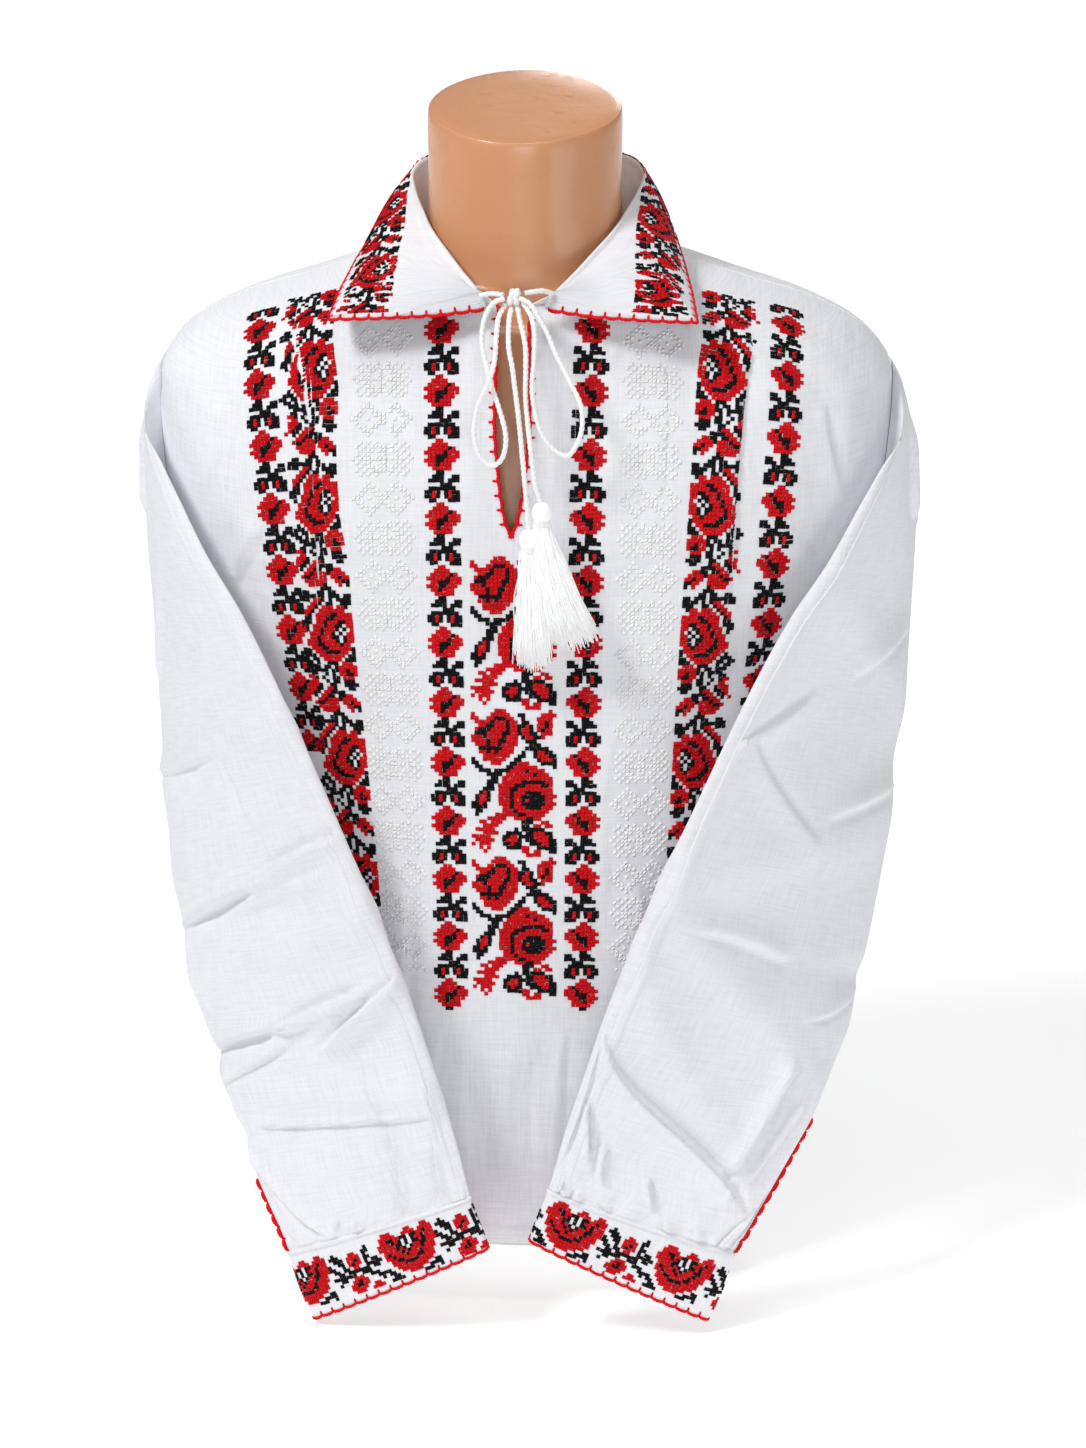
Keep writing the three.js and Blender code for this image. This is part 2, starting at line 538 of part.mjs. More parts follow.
function cuffSolid(hang) {
  const moved = new THREE.Vector3(-hang.inwards, 0, hang.lift);
  const surface = (turn, place) => tubePoint(readTable(CUFF, place), turn).add(moved);
  const band = {
    rows: 2,
    columns: 26,
    map: (across, place) => {
      const gap = turnBesideFold(readTable(CUFF, place), CUFF_HALF_PLAY);
      return [THREE.MathUtils.lerp(gap, 1 - gap, across), place];
    },
  };
  return clothShell(surface, [band]);
}

function mirrored(geometry) {
  const copy = geometry.clone().scale(-1, 1, 1);
  const index = copy.getIndex();
  for (let corner = 0; corner < index.count; corner += 3) {
    const [b, c] = [index.getX(corner + 1), index.getX(corner + 2)];
    index.setX(corner + 1, c);
    index.setX(corner + 2, b);
  }
  copy.computeVertexNormals();
  return copy;
}

// ---- the collar ----------------------------------------------------------------------------
// A point on the collar: along runs from one front end round the neck to the other, and across
// goes up the stand (0 to 0.3), over the fold (to 0.5) and down the leaf (to 1).
function collarSurface(along, across) {
  const side = along < 0.5 ? -1 : 1;
  const place = 1 - Math.abs(along - 0.5) * 2;
  const row = readTable(COLLAR, place);
  const rim = readStraight(COLLAR, place);
  const sewn = THREE.MathUtils.lerp(slitTurn(1, side), side < 0 ? -0.25 : 0.75, row.sewn);
  const foot = bodySurface(sewn, 1).add(new THREE.Vector3(0, 0, 2 * SEAM));
  const fold = new THREE.Vector3(side * row.fx, row.fy, row.fz);
  const spread = side < 0 ? LEFT_LEAF : 1;
  const edge = new THREE.Vector3(side * rim.ex * spread, rim.ey, rim.ez);
  const out = edge.clone().sub(foot).setZ(0).normalize();
  const centre = fold.clone().setZ(fold.z - COLLAR_FOLD);
  const turned = (angle) => centre.clone()
    .addScaledVector(out, -COLLAR_FOLD * Math.cos(angle))
    .add(new THREE.Vector3(0, 0, COLLAR_FOLD * Math.sin(angle)));
  if (across < STAND_TOP) return foot.lerp(turned(0), across / STAND_TOP);
  if (across < LEAF_TOP) return turned(((across - STAND_TOP) / (LEAF_TOP - STAND_TOP)) * Math.PI);
  const down = (across - LEAF_TOP) / (1 - LEAF_TOP);
  const leaf = turned(Math.PI).lerp(edge, down);
  leaf.z += LEAF_BELLY * Math.sin(down * Math.PI);
  return leaf;
}

function collarSolid() {
  const STEPS = [0, 0.15, STAND_TOP, 0.35, 0.4, 0.45, LEAF_TOP, 0.65, 0.8, 1];
  const sheet = {
    rows: STEPS.length - 1,
    columns: 36,
    map: (along, place) => [along, STEPS[Math.round(place * (STEPS.length - 1))]],
  };
  return clothShell(collarSurface, [sheet]);
}

// ---- the tie -------------------------------------------------------------------------------
function cordSolid(route) {
  const path = new THREE.CatmullRomCurve3(route.map((point) => new THREE.Vector3(...point)));
  const section = new THREE.Shape();
  const SIDES = 8;
  for (let side = 0; side < SIDES; side += 1) {
    const angle = (side / SIDES) * 2 * Math.PI;
    const [x, y] = [Math.cos(angle) * TIE_DIAMETER / 2, Math.sin(angle) * TIE_DIAMETER / 2];
    if (side === 0) section.moveTo(x, y);
    else section.lineTo(x, y);
  }
  section.closePath();
  const steps = Math.max(3, Math.round(path.getLength() / (2.6 * TIE_DIAMETER)));
  return new THREE.ExtrudeGeometry(section, { steps, extrudePath: path, bevelEnabled: false });
}

function ballRings(centre, size, levels, count) {
  const rings = [];
  for (let level = 0; level <= levels; level += 1) {
    const tilt = THREE.MathUtils.mapLinear(level, 0, levels, -0.42, 0.42) * Math.PI;
    const ring = [];
    for (let index = 0; index < count; index += 1) {
      const angle = (index / count) * 2 * Math.PI;
      ring.push(new THREE.Vector3(
        centre.x + Math.cos(angle) * Math.cos(tilt) * size.x,
        centre.y + Math.sin(angle) * Math.cos(tilt) * size.y,
        centre.z + Math.sin(tilt) * size.z,
      ));
    }
    rings.push(ring);
  }
  return rings;
}

// A tassel's bound head, open below; returns the ring of its lower edge.
function tasselHead(centre, push) {
  const rings = ballRings(centre, TASSEL_HEAD, 5, 12);
  const top = new THREE.Vector3(centre.x, centre.y, centre.z + TASSEL_HEAD.z);
  rings.slice(0, -1).forEach((low, level) => {
    const high = rings[level + 1];
    low.forEach((corner, index) => {
      const next = (index + 1) % low.length;
      push(corner, low[next], high[next]);
      push(corner, high[next], high[index]);
    });
  });
  const highest = rings[rings.length - 1];
  highest.forEach((corner, index) => push(top, corner, highest[(index + 1) % highest.length]));
  return rings[0];
}

// How far down its length, and how thick against its root, each of a strand's two rings lies.
const STRAND_RINGS = [{ down: 0.2, thick: 0.8 }, { down: 1, thick: 0.6 }];
const STRAND_LEAST = 0.86;     // the shortest strand against the longest
const SKIRT_FLATNESS = 0.25;   // how far the skirt spreads towards the front, against sideways

// A tassel is one solid: each strand leaves the head's underside from its own small triangle.
function tasselSolid(tassel) {
  const centre = new THREE.Vector3(tassel.x, tassel.y, tassel.z);
  const positions = [];
  const push = (...corners) => corners.forEach((corner) => positions.push(...corner.toArray()));
  const rim = tasselHead(centre, push);
  const hub = centre.clone().setZ(rim[0].z);
  for (const cell of splitUnderside(rim, hub)) {
    if (!cell.strand) {
      push(...cell.corners);
      continue;
    }
    const middle = cell.corners.reduce((sum, p) => sum.add(p), new THREE.Vector3()).divideScalar(3);
    const away = middle.clone().sub(hub).multiplyScalar(tassel.spread / TASSEL_HEAD.y);
    const swing = 0.5 + 0.5 * Math.sin(cell.index * 2.4);
    const length = tassel.length * THREE.MathUtils.lerp(STRAND_LEAST, 1, swing);
    let ring = cell.corners;
    for (const { down, thick } of STRAND_RINGS) {
      const point = new THREE.Vector3(
        middle.x + away.x * down ** 1.2 + tassel.lean * tassel.length * down ** 1.5,
        middle.y + away.y * SKIRT_FLATNESS * down,
        middle.z - length * down,
      );
      const next = cell.corners.map((corner) => (
        corner.clone().sub(middle).multiplyScalar(thick).add(point)
      ));
      ring.forEach((corner, index) => {
        const after = (index + 1) % 3;
        push(corner, ring[after], next[after]);
        push(corner, next[after], next[index]);
      });
      ring = next;
    }
    push(ring[0], ring[1], ring[2]);
  }
  return weld(positions);
}

// The underside of a tassel's head as rings of cells, each with a triangle that carries a strand.
function splitUnderside(rim, hub) {
  const cells = [];
  const LEVELS = 3;
  const at = (index, level) => hub.clone().lerp(rim[index % rim.length], level / LEVELS);
  for (let level = 0; level < LEVELS; level += 1) {
    for (let index = 0; index < rim.length; index += 1) {
      const [a, b] = [at(index, level + 1), at(index + 1, level + 1)];
      const [c, d] = [at(index, level), at(index + 1, level)];
      cells.push({ corners: [a, d, b], strand: true, index: cells.length });
      if (level > 0) cells.push({ corners: [a, c, d], strand: false, index: 0 });
    }
  }
  return cells;
}

// ---- everything in place -------------------------------------------------------------------
addMesh('dress_form', formSolid(), COLOURS.form, 0.35);
addMesh('front_panel', frontPanel(), COLOURS.cloth, 0.9);
addMesh('back_panel', backPanel(), COLOURS.cloth, 0.9);
addMesh('sleeve_left', mirrored(sleeveSolid(SLEEVE_CREASES.left, HANG.left)), COLOURS.cloth, 0.9);
addMesh('sleeve_right', sleeveSolid(SLEEVE_CREASES.right, HANG.right), COLOURS.cloth, 0.9);
addMesh('cuff_left', mirrored(cuffSolid(HANG.left)), COLOURS.cloth, 0.9);
addMesh('cuff_right', cuffSolid(HANG.right), COLOURS.cloth, 0.9);
addMesh('collar', collarSolid(), COLOURS.cloth, 0.9);
for (const [name, route] of Object.entries(TIE)) {
  addMesh(`tie_${name}`, cordSolid(route), COLOURS.tie, 0.8);
}
const knotSize = new THREE.Vector3(KNOT.width, KNOT.depth, KNOT.height).multiplyScalar(0.5);
addMesh('tie_knot', stackedRings(ballRings(KNOT, knotSize, 6, 12)), COLOURS.tie, 0.8);
for (const tassel of TASSELS) addMesh(tassel.name, tasselSolid(tassel), COLOURS.tie, 0.85);

export default group;
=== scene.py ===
# %% [markdown]
# # An embroidered folk shirt on a limbless dress form
# The solids of the part are already fixed: this script loads them and dresses each one. A shirt
# is cut from flat cloth, so every cloth piece here is a thin sheet that follows its solid's form,
# and the embroidery is real thread: thousands of small cross stitches laid on the cloth one by
# one.

# %% Load the fixed frame
import math

import bpy
import numpy as np
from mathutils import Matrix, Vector


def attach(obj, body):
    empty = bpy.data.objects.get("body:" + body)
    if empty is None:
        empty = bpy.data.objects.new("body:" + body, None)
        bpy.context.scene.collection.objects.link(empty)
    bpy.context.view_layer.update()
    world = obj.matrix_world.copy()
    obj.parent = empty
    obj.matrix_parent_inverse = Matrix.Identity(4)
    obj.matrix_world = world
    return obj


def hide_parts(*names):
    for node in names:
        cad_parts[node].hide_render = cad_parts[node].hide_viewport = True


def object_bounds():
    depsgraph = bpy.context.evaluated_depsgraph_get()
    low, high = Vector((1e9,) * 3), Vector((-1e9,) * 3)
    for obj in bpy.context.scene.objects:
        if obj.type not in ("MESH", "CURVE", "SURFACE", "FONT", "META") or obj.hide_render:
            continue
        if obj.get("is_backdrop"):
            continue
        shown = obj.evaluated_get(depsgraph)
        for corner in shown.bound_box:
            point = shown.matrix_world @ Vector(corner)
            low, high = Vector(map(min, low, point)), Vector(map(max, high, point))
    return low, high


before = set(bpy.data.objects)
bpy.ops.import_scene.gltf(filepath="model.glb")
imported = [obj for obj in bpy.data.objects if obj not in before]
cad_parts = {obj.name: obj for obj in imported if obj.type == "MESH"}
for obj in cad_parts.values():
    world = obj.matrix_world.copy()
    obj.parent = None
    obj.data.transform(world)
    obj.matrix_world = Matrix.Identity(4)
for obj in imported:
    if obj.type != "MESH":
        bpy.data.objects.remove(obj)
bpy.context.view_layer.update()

MM = 0.001
random_numbers = np.random.default_rng(7)

# %% [markdown]
# ## The camera
# The shirt is seen from a little above its collar, from slightly right of its middle. A long lens
# from two metres away keeps the body's proportions, as a shop photographer would do.

# %% Place the camera
def add_object(name, data):
    """A new object in the scene."""
    made = bpy.data.objects.new(name, data)
    bpy.context.scene.collection.objects.link(made)
    return made


camera_data = bpy.data.cameras.new("camera")
camera_data.sensor_width = 36
camera_data.lens = 79.558
camera_data.clip_start = 0.1
camera_data.clip_end = 50
camera = add_object("camera", camera_data)
camera.location = (0.12506, -2.16204, 1.05142)
camera.rotation_euler = (math.radians(73), 0, math.radians(3))
bpy.context.scene.camera = camera
print("lens", camera_data.lens, "mm")

# %% [markdown]
# ## Writing materials as sums
# A finish is a chain of small calculations on the surface: a noise, a threshold, a mix. Wiring
# each by hand hides the idea, so a socket is wrapped in a class that understands + - * /, and one
# method makes any other node from its type, its settings and its inputs.

# %% A wrapped socket and a material workshop
class Wire:
    """One value that varies over the surface; arithmetic on it adds Math nodes."""

    def __init__(self, finish, socket):
        self.finish = finish
        self.socket = socket

    def maths(self, operation, first, second):
        return self.finish.node("ShaderNodeMath", {"operation": operation}, {0: first, 1: second})

    def __add__(self, other):
        return self.maths("ADD", self, other)

    def __radd__(self, other):
        return self.maths("ADD", other, self)

    def __sub__(self, other):
        return self.maths("SUBTRACT", self, other)

    def __rsub__(self, other):
        return self.maths("SUBTRACT", other, self)

    def __mul__(self, other):
        return self.maths("MULTIPLY", self, other)

    def __rmul__(self, other):
        return self.maths("MULTIPLY", other, self)


class Finish:
    """A material with one Principled shader."""

    def __init__(self, name, **sockets):
        self.material = bpy.data.materials.new(name)
        self.material.use_nodes = True
        self.tree = self.material.node_tree
        self.shader = self.tree.nodes["Principled BSDF"]
        for socket, value in sockets.items():
            self.set(socket.replace("_", " "), value)

    def set(self, socket, value):
        """Links or sets one of the shader's sockets."""
        self.feed(self.shader.inputs[socket], value)

    def feed(self, socket, value):
        if isinstance(value, Wire):
            self.tree.links.new(value.socket, socket)
        else:
            socket.default_value = value

    def node(self, kind, settings=None, inputs=None, output=0):
        """Any node: its type, its settings, then the values or wires of its sockets."""
        made = self.tree.nodes.new(kind)
        for name, value in (settings or {}).items():
            setattr(made, name, value)
        for name, value in (inputs or {}).items():
            self.feed(made.inputs[name], value)
        return Wire(self, made.outputs[output])

    def mix(self, factor, first, second):
        """A mix of two colours."""
        inputs = {0: factor, 6: first, 7: second}
        return self.node("ShaderNodeMix", {"data_type": "RGBA"}, inputs, output=2)

    def sine(self, value):
        return self.node("ShaderNodeMath", {"operation": "SINE"}, {0: value})

    def attribute(self, name, output="Fac"):
        return self.node("ShaderNodeAttribute", {"attribute_name": name}, output=output)

    def object_place(self):
        """Where the surface lies in its object's own coordinates, in metres."""
        return self.node("ShaderNodeTexCoord", output="Object")

    def coordinate(self, vector, axis):
        """One coordinate of a vector: 0 for x, 1 for y, 2 for z."""
        return self.node("ShaderNodeSeparateXYZ", inputs={0: vector}, output=axis)

    def noise(self, vector, scale, detail, stretch=None):
        """Soft noise from 0 to 1, optionally stretched along one axis."""
        if stretch is not None:
            vector = self.node(
                "ShaderNodeVectorMath", {"operation": "MULTIPLY"}, {0: vector, 1: stretch})
        inputs = {"Vector": vector, "Scale": scale, "Detail": detail}
        return self.node("ShaderNodeTexNoise", inputs=inputs)

    def between(self, value, low, high):
        """0 below low, 1 above high, and a smooth rise between them."""
        inputs = {0: value, 1: low, 2: high, 3: 0.0, 4: 1.0}
        return self.node("ShaderNodeMapRange", {"interpolation_type": "SMOOTHSTEP"}, inputs)

    def bump(self, height, distance, under=None):
        """Small relief; distance is its real height in metres."""
        inputs = {"Height": height, "Distance": distance, "Strength": 1.0}
        if under is not None:
            inputs["Normal"] = under
        return self.node("ShaderNodeBump", inputs=inputs)


# %% [markdown]
# ## The finishes
# Five finishes dress the shirt: fine plain-woven cloth, thread in red, black and white, and a
# looser white thread for the tassels, which glows a little with painted light to look whiter. The
# cloth's threads are 0.7 mm apart, so they only show as a faint grain, and its colour stays white
# while the lamps draw the folds.

# %% White cloth and thread
THREAD_SPACING = 0.0007


def woven_cloth(name, colour, shade):
    """Plain weave from two crossing sets of threads, uneven as spun linen is."""
    cloth = Finish(
        name, Roughness=0.86, Sheen_Weight=0.12, Sheen_Roughness=0.45, Specular_IOR_Level=0.25)
    place = cloth.attribute("weave", "Vector")
    weft, warp = cloth.coordinate(place, 0), cloth.coordinate(place, 1)
    turn = 2 * math.pi / THREAD_SPACING
    slub_warp = cloth.noise(place, 760.0, 1.0, (1.0, 0.05, 1.0))
    slub_weft = cloth.noise(place, 760.0, 1.0, (0.05, 1.0, 1.0))
    across = cloth.sine(weft * turn + slub_warp * 3.0)
    upwards = cloth.sine(warp * turn + slub_weft * 3.0)
    thread = across * upwards
    uneven = slub_warp + slub_weft
    mottle = cloth.noise(place, 9.0, 3.0)
    pale = cloth.between(mottle * 0.16 + uneven * 0.4, 0.27, 0.6)
    cloth.set("Base Color", cloth.mix(pale, shade, colour))
    crumple = cloth.noise(place, 40.0, 4.0, (1.0, 0.5, 1.0))
    soft = cloth.bump(crumple, 0.003)
    cloth.set("Normal", cloth.bump(thread * 0.35 + uneven, 0.00012, under=soft))
    return cloth.material


def spun_thread(name, colour, shade, roughness, sheen, painted_glow=0.0):
    """Thread: each stitch or strand varies in tone; loose strands may glow as painted light."""
    # the glow strength is painted light: the thread shines a little though it is no lamp
    thread = Finish(
        name, Roughness=roughness, Sheen_Weight=sheen, Sheen_Roughness=0.4,
        Specular_IOR_Level=0.15, Emission_Color=(1, 1, 1, 1), Emission_Strength=painted_glow)
    # tone: random on stitches and strands, painted shade in the grooves of cords and tassel heads
    thread.set("Base Color", thread.mix(thread.attribute("tone_and_groove_shade"), shade, colour))
    fibres = thread.noise(thread.object_place(), 2400.0, 2.0)
    thread.set("Normal", thread.bump(fibres, 0.00006))
    return thread.material


WHITE_CLOTH = woven_cloth("white_cloth", (0.9, 0.91, 0.945, 1), (0.8, 0.815, 0.86, 1))
WHITE = (0.98, 0.98, 0.98, 1)
RED_THREAD = spun_thread("red_thread", (0.78, 0.004, 0.01, 1), (0.56, 0.003, 0.008, 1), 0.66, 0.0)
BLACK_THREAD = spun_thread(
    "black_thread", (0.006, 0.005, 0.007, 1), (0.003, 0.003, 0.004, 1), 0.7, 0.0)
WHITE_THREAD = spun_thread("white_thread", WHITE, (0.93, 0.935, 0.95, 1), 0.75, 0.15)
# the tassels' thread glows faintly though it is no lamp: painted light that whitens its strands
TASSEL_THREAD = spun_thread("tassel_thread", WHITE, (0.95, 0.955, 0.97, 1), 0.75, 0.15, painted_glow=0.16)
print("finishes:", len(bpy.data.materials))

# %% [markdown]
# ## Reading tables and making pieces
# Every form is described by a short table of sections. A smooth curve through the rows gives any
# section between them. All tables are in millimetres, and a piece is scaled to metres when its
# mesh is made.

# %% Helpers for tables, grids and pieces
CLOTH_THICKNESS = 0.9


def between_rows(table, place):
    """A table, the row before each place from 0 to 1, and the share of the way to the next."""
    table = np.asarray(table, float)
    last = len(table) - 1
    spot = np.clip(place, 0, 1) * last
    row = np.minimum(spot.astype(int), last - 1)
    return table, row, (spot - row)[..., None]


def smooth_read(table, place):
    """A smooth curve through a table's rows, read at places from 0 to 1."""
    table, row, rest = between_rows(table, place)
    a, b, c, d = (table[np.clip(row + step, 0, len(table) - 1)] for step in (-1, 0, 1, 2))
    bend = 2 * a - 5 * b + 4 * c - d + (3 * (b - c) + d - a) * rest
    return b + 0.5 * rest * (c - a + rest * bend)


def straight_read(table, place):
    """The same rows joined by straight lines, which keep their corners."""
    table, row, rest = between_rows(table, place)
    return table[row] * (1 - rest) + table[row + 1] * rest


def signed_power(value, power):
    return np.sign(value) * np.abs(value) ** power


def smooth_step(value):
    value = np.clip(value, 0, 1)
    return value * value * (3 - 2 * value)


def unit(vectors):
    length = np.linalg.norm(vectors, axis=-1, keepdims=True)
    return vectors / np.maximum(length, 1e-9)


def path_lengths(points):
    """How far each point of a path lies from its start."""
    return np.concatenate([[0], np.cumsum(np.linalg.norm(np.diff(points, axis=0), axis=1))])


def read_spots(vectors, lengths, spots):
    """Vectors known along a path, read at other distances along it."""
    return np.stack([np.interp(spots, lengths, vectors[:, axis]) for axis in range(3)], -1)


def grid_faces(rows, columns, closed=False):
    """Quads of a grid of points with that many rows and columns of points."""
    index = np.arange(rows * columns).reshape(rows, columns)
    if closed:
        index = np.concatenate([index, index[:, :1]], axis=1)
    a, b = index[:-1, :-1], index[:-1, 1:]
    d, c = index[1:, :-1], index[1:, 1:]
    return np.stack([a, b, c, d], -1).reshape(-1, 4)


def grid_lengths(points):
    """How far each grid point lies along its row and its column, measured on the cloth."""
    along = np.linalg.norm(np.diff(points, axis=1), axis=-1)
    up = np.linalg.norm(np.diff(points, axis=0), axis=-1).mean(axis=1)
    along = np.concatenate([np.zeros((len(points), 1)), np.cumsum(along, axis=1)], axis=1)
    along -= along.mean(axis=1, keepdims=True)
    up = np.concatenate([[0], np.cumsum(up)])
    upwards = np.repeat(up[:, None], points.shape[1], axis=1)
    return np.stack([along, upwards, np.zeros_like(along)], -1)


def tube_faces(rows, around, offset=0):
    """Faces of a stack of rings, closed at both ends."""
    faces = grid_faces(rows, around, closed=True) + offset
    ends = [list(range(around))[::-1], list(range((rows - 1) * around, rows * around))]
    return faces.tolist() + [[corner + offset for corner in end] for end in ends]


def joined_tubes(tubes):
    """The points and the faces of several stacks of rings."""
    faces, count = [], 0
    for rings in tubes:
        faces += tube_faces(*rings.shape[:2], offset=count)
        count += rings.shape[0] * rings.shape[1]
    return np.concatenate([rings.reshape(-1, 3) for rings in tubes]), faces


def make_piece(name, points, faces, material, weave=None, tone_and_groove_shade=None):
    """A new piece from points in millimetres, which rides with the part."""
    mesh = bpy.data.meshes.new(name)
    points = np.asarray(points, float).reshape(-1, 3)
    faces = faces.tolist() if isinstance(faces, np.ndarray) else faces
    mesh.from_pydata((points * MM).tolist(), [], faces)
    mesh.materials.append(material)
    if weave is not None:
        layer = mesh.attributes.new("weave", "FLOAT_VECTOR", "POINT")
        layer.data.foreach_set("vector", (np.asarray(weave, float).reshape(-1, 3) * MM).ravel())
    if tone_and_groove_shade is not None:
        layer = mesh.attributes.new("tone_and_groove_shade", "FLOAT", "POINT")
        layer.data.foreach_set("value", np.asarray(tone_and_groove_shade, float).ravel())
    mesh.polygons.foreach_set("use_smooth", [True] * len(mesh.polygons))
    mesh.update()
    made = add_object(name, mesh)
    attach(made, "root")
    return made


def make_cloth(name, grid, turned=False):
    """White cloth from a grid of points; turned when its faces would look inwards."""
    faces = grid_faces(*grid.shape[:2])
    faces = faces[:, ::-1] if turned else faces
    return make_piece(name, grid, faces, WHITE_CLOTH, grid_lengths(grid))


def thicken(piece):
    """Gives a sheet its cloth's thickness, inwards from its face."""
    wall = piece.modifiers.new("wall", "SOLIDIFY")
    wall.thickness = CLOTH_THICKNESS * MM
    wall.offset = -1


# %% [markdown]
# ## The tie
# A tie closes the neck: one twisted cotton cord goes through both ends of the collar, is tied in
# a flat bow under the throat, and its two ends hang down with a tassel each. The cord is two
# plies twisted together, so its section is a rounded figure of eight that turns as it runs.

# %% The cord's route and its twisted plies
TIE_DIAMETER = 3.5
TWIST_PITCH = 7.5
CORD_SIDES = 18
TIE = {
    "tie_stub_left": [(-23.5, -101, 710.5), (-16.5, -106, 712.5), (-8.1, -109.9, 712.3)],
    "tie_stub_right": [(23, -100.2, 711.8), (16.5, -106, 714.5), (5.9, -110.1, 713.6)],
    "tie_loop_left": [
        (-7.1, -116.9, 711.1), (-14, -119, 708.5), (-19.5, -121.5, 699), (-21, -126, 684.5),
        (-18, -130, 670.5), (-15, -133, 658.5), (-9.5, -136.5, 643.5), (-5, -139, 626),
        (-7, -140, 612), (-14, -140.5, 606.5), (-21.5, -140.5, 612), (-25.5, -140, 627),
        (-23, -139.5, 644.5), (-16.5, -138.5, 659.5), (-12.5, -135, 673), (-11.5, -130, 688),
        (-10.5, -120, 699.5), (-6.7, -113.9, 706.9),
    ],
    "tie_loop_right": [
        (3.1, -118.2, 711.6), (10.5, -121, 707.5), (20, -123, 692), (27.5, -127, 675.5),
        (36.5, -133, 659.5), (43.5, -137, 644.5), (43.5, -139.5, 628), (36, -140, 614),
        (27, -140, 616.5), (18.5, -139.5, 627.5), (14, -139, 641.5), (12, -138, 657),
        (13, -134.5, 674.5), (13, -129, 690), (10.5, -122, 700.5), (5.1, -114.8, 708.1),
    ],
    "tie_end_left": [
        (-2.7, -113.9, 704.8), (-4, -119.5, 696), (-3.5, -130, 682), (-1, -134, 669.5),
        (1, -137, 655.5), (3.5, -140, 636.5), (5.5, -141.5, 616), (7.5, -142.5, 594.5),
        (10, -143.2, 565),
    ],
    "tie_end_right": [
        (1.3, -113.8, 705), (3.5, -118.5, 696), (7, -126, 682), (7.5, -130.5, 667.5),
        (7.5, -134.5, 650), (9.5, -139, 631), (12, -142, 611), (14.5, -143, 594),
        (18, -143.5, 583.2),
    ],
}


def cord_path(route, step):
    """Evenly spaced points along a smooth curve through the route, and their distances."""
    fine = smooth_read(route, np.linspace(0, 1, 60 * len(route)))
    lengths = path_lengths(fine)
    count = max(4, round(lengths[-1] / step))
    spots = np.linspace(0, lengths[-1], count + 1)
    return read_spots(fine, lengths, spots), spots


def carried_frames(points):
    """Two side directions at each point of a path, carried along without twisting."""
    ahead = unit(np.gradient(points, axis=0))
    side = unit(np.cross(ahead[0], (0.3, 0.5, 0.81)))
    sides = []
    for direction in ahead:
        side = unit(side - direction * np.dot(side, direction))
        sides.append(side)
    sides = np.array(sides)
    return sides, np.cross(ahead, sides)


def twisted_rings(points, spots, diameter):
    """A two-ply cord: its radius dips where the plies meet, and the dips turn with the twist."""
    sides, ups = carried_frames(points)
    angle = np.linspace(0, 2 * np.pi, CORD_SIDES, endpoint=False)[None, :]
    ply = np.abs(np.cos(angle - 2 * np.pi * spots[:, None] / TWIST_PITCH))
    radius = diameter / 2 * (0.72 + 0.28 * ply)
    rings = points[:, None] + (radius * np.cos(angle))[..., None] * sides[:, None]
    rings = rings + (radius * np.sin(angle))[..., None] * ups[:, None]
    # the second value is painted shade: the thread is darkest in the grooves where the plies meet
    return rings, 0.3 + 0.7 * ply


for node, route in TIE.items():
    points, spots = cord_path(route, 0.9)
    rings, tone_and_groove_shade = twisted_rings(points, spots, TIE_DIAMETER)
    cord = make_piece(f"{node}_cord", *joined_tubes([rings]), WHITE_THREAD, tone_and_groove_shade=tone_and_groove_shade)
    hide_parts(node)
    if node.startswith("tie_stub"):
        continue
    path, _ = cord_path(route, 3.0)
    [value * MM for value in route[0]]

# %% [markdown]
# The knot is two turns of the same cord drawn tight round the crossing. A tassel is a bundle of
# threads folded over the cord's end and bound below the fold, so it has a ribbed head, a tight
# binding and a skirt of loose threads that spread as they hang.

# %% Tie the knot and hang the tassels
KNOT = {"x": -1.0, "y": -112.0, "z": 711.2}
# how far beside the knot's middle, tilt, half height, half depth
KNOT_TURNS = [(-1.9, 0.3, 3.6, 3.4), (1.7, 0.1, 3.9, 3.8)]
tubes, tones_and_groove_shade = [], []
turn = np.linspace(0, 2 * np.pi, 40)
for offset, tilt, high, deep in KNOT_TURNS:
    loop = np.stack([
        KNOT["x"] + offset + tilt * high * np.cos(turn), KNOT["y"] + deep * np.sin(turn),
        KNOT["z"] + high * np.cos(turn),
    ], -1)
    rings, tone_and_groove_shade = twisted_rings(loop, turn * 4.0, TIE_DIAMETER * 1.25)
    tubes.append(rings)
    tones_and_groove_shade.append(tone_and_groove_shade)
knot = make_piece("tie_knot_turns", *joined_tubes(tubes), WHITE_THREAD, tone_and_groove_shade=np.concatenate(tones_and_groove_shade))
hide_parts("tie_knot")

# x, y, z of the head's middle, the skirt's length, lean and half width
TASSELS = {
    "tassel_left": (10.2, -143.5, 557.5, 84, 0.03, 13.5),
    "tassel_right": (18.5, -144, 575.7, 88, 0.25, 18),
}
# height above the middle of the head, radius
TASSEL_HEAD = [
    (7.6, 1.6), (7.0, 3.2), (5.4, 4.9), (2.8, 5.9), (0, 6.2), (-2.4, 5.8), (-3.8, 5.1), (-4.2, 4.7),
    (-4.6, 5.3), (-5.0, 4.7), (-5.4, 5.3), (-5.8, 4.7), (-6.2, 5.3), (-6.7, 4.7), (-7.4, 4.8),
]
STRANDS = 300
STRAND_ROWS, STRAND_SIDES = 8, 3
# the skirt's half width and drop at the binding
SKIRT_TOP, SKIRT_DROP = 4.1, 6.8


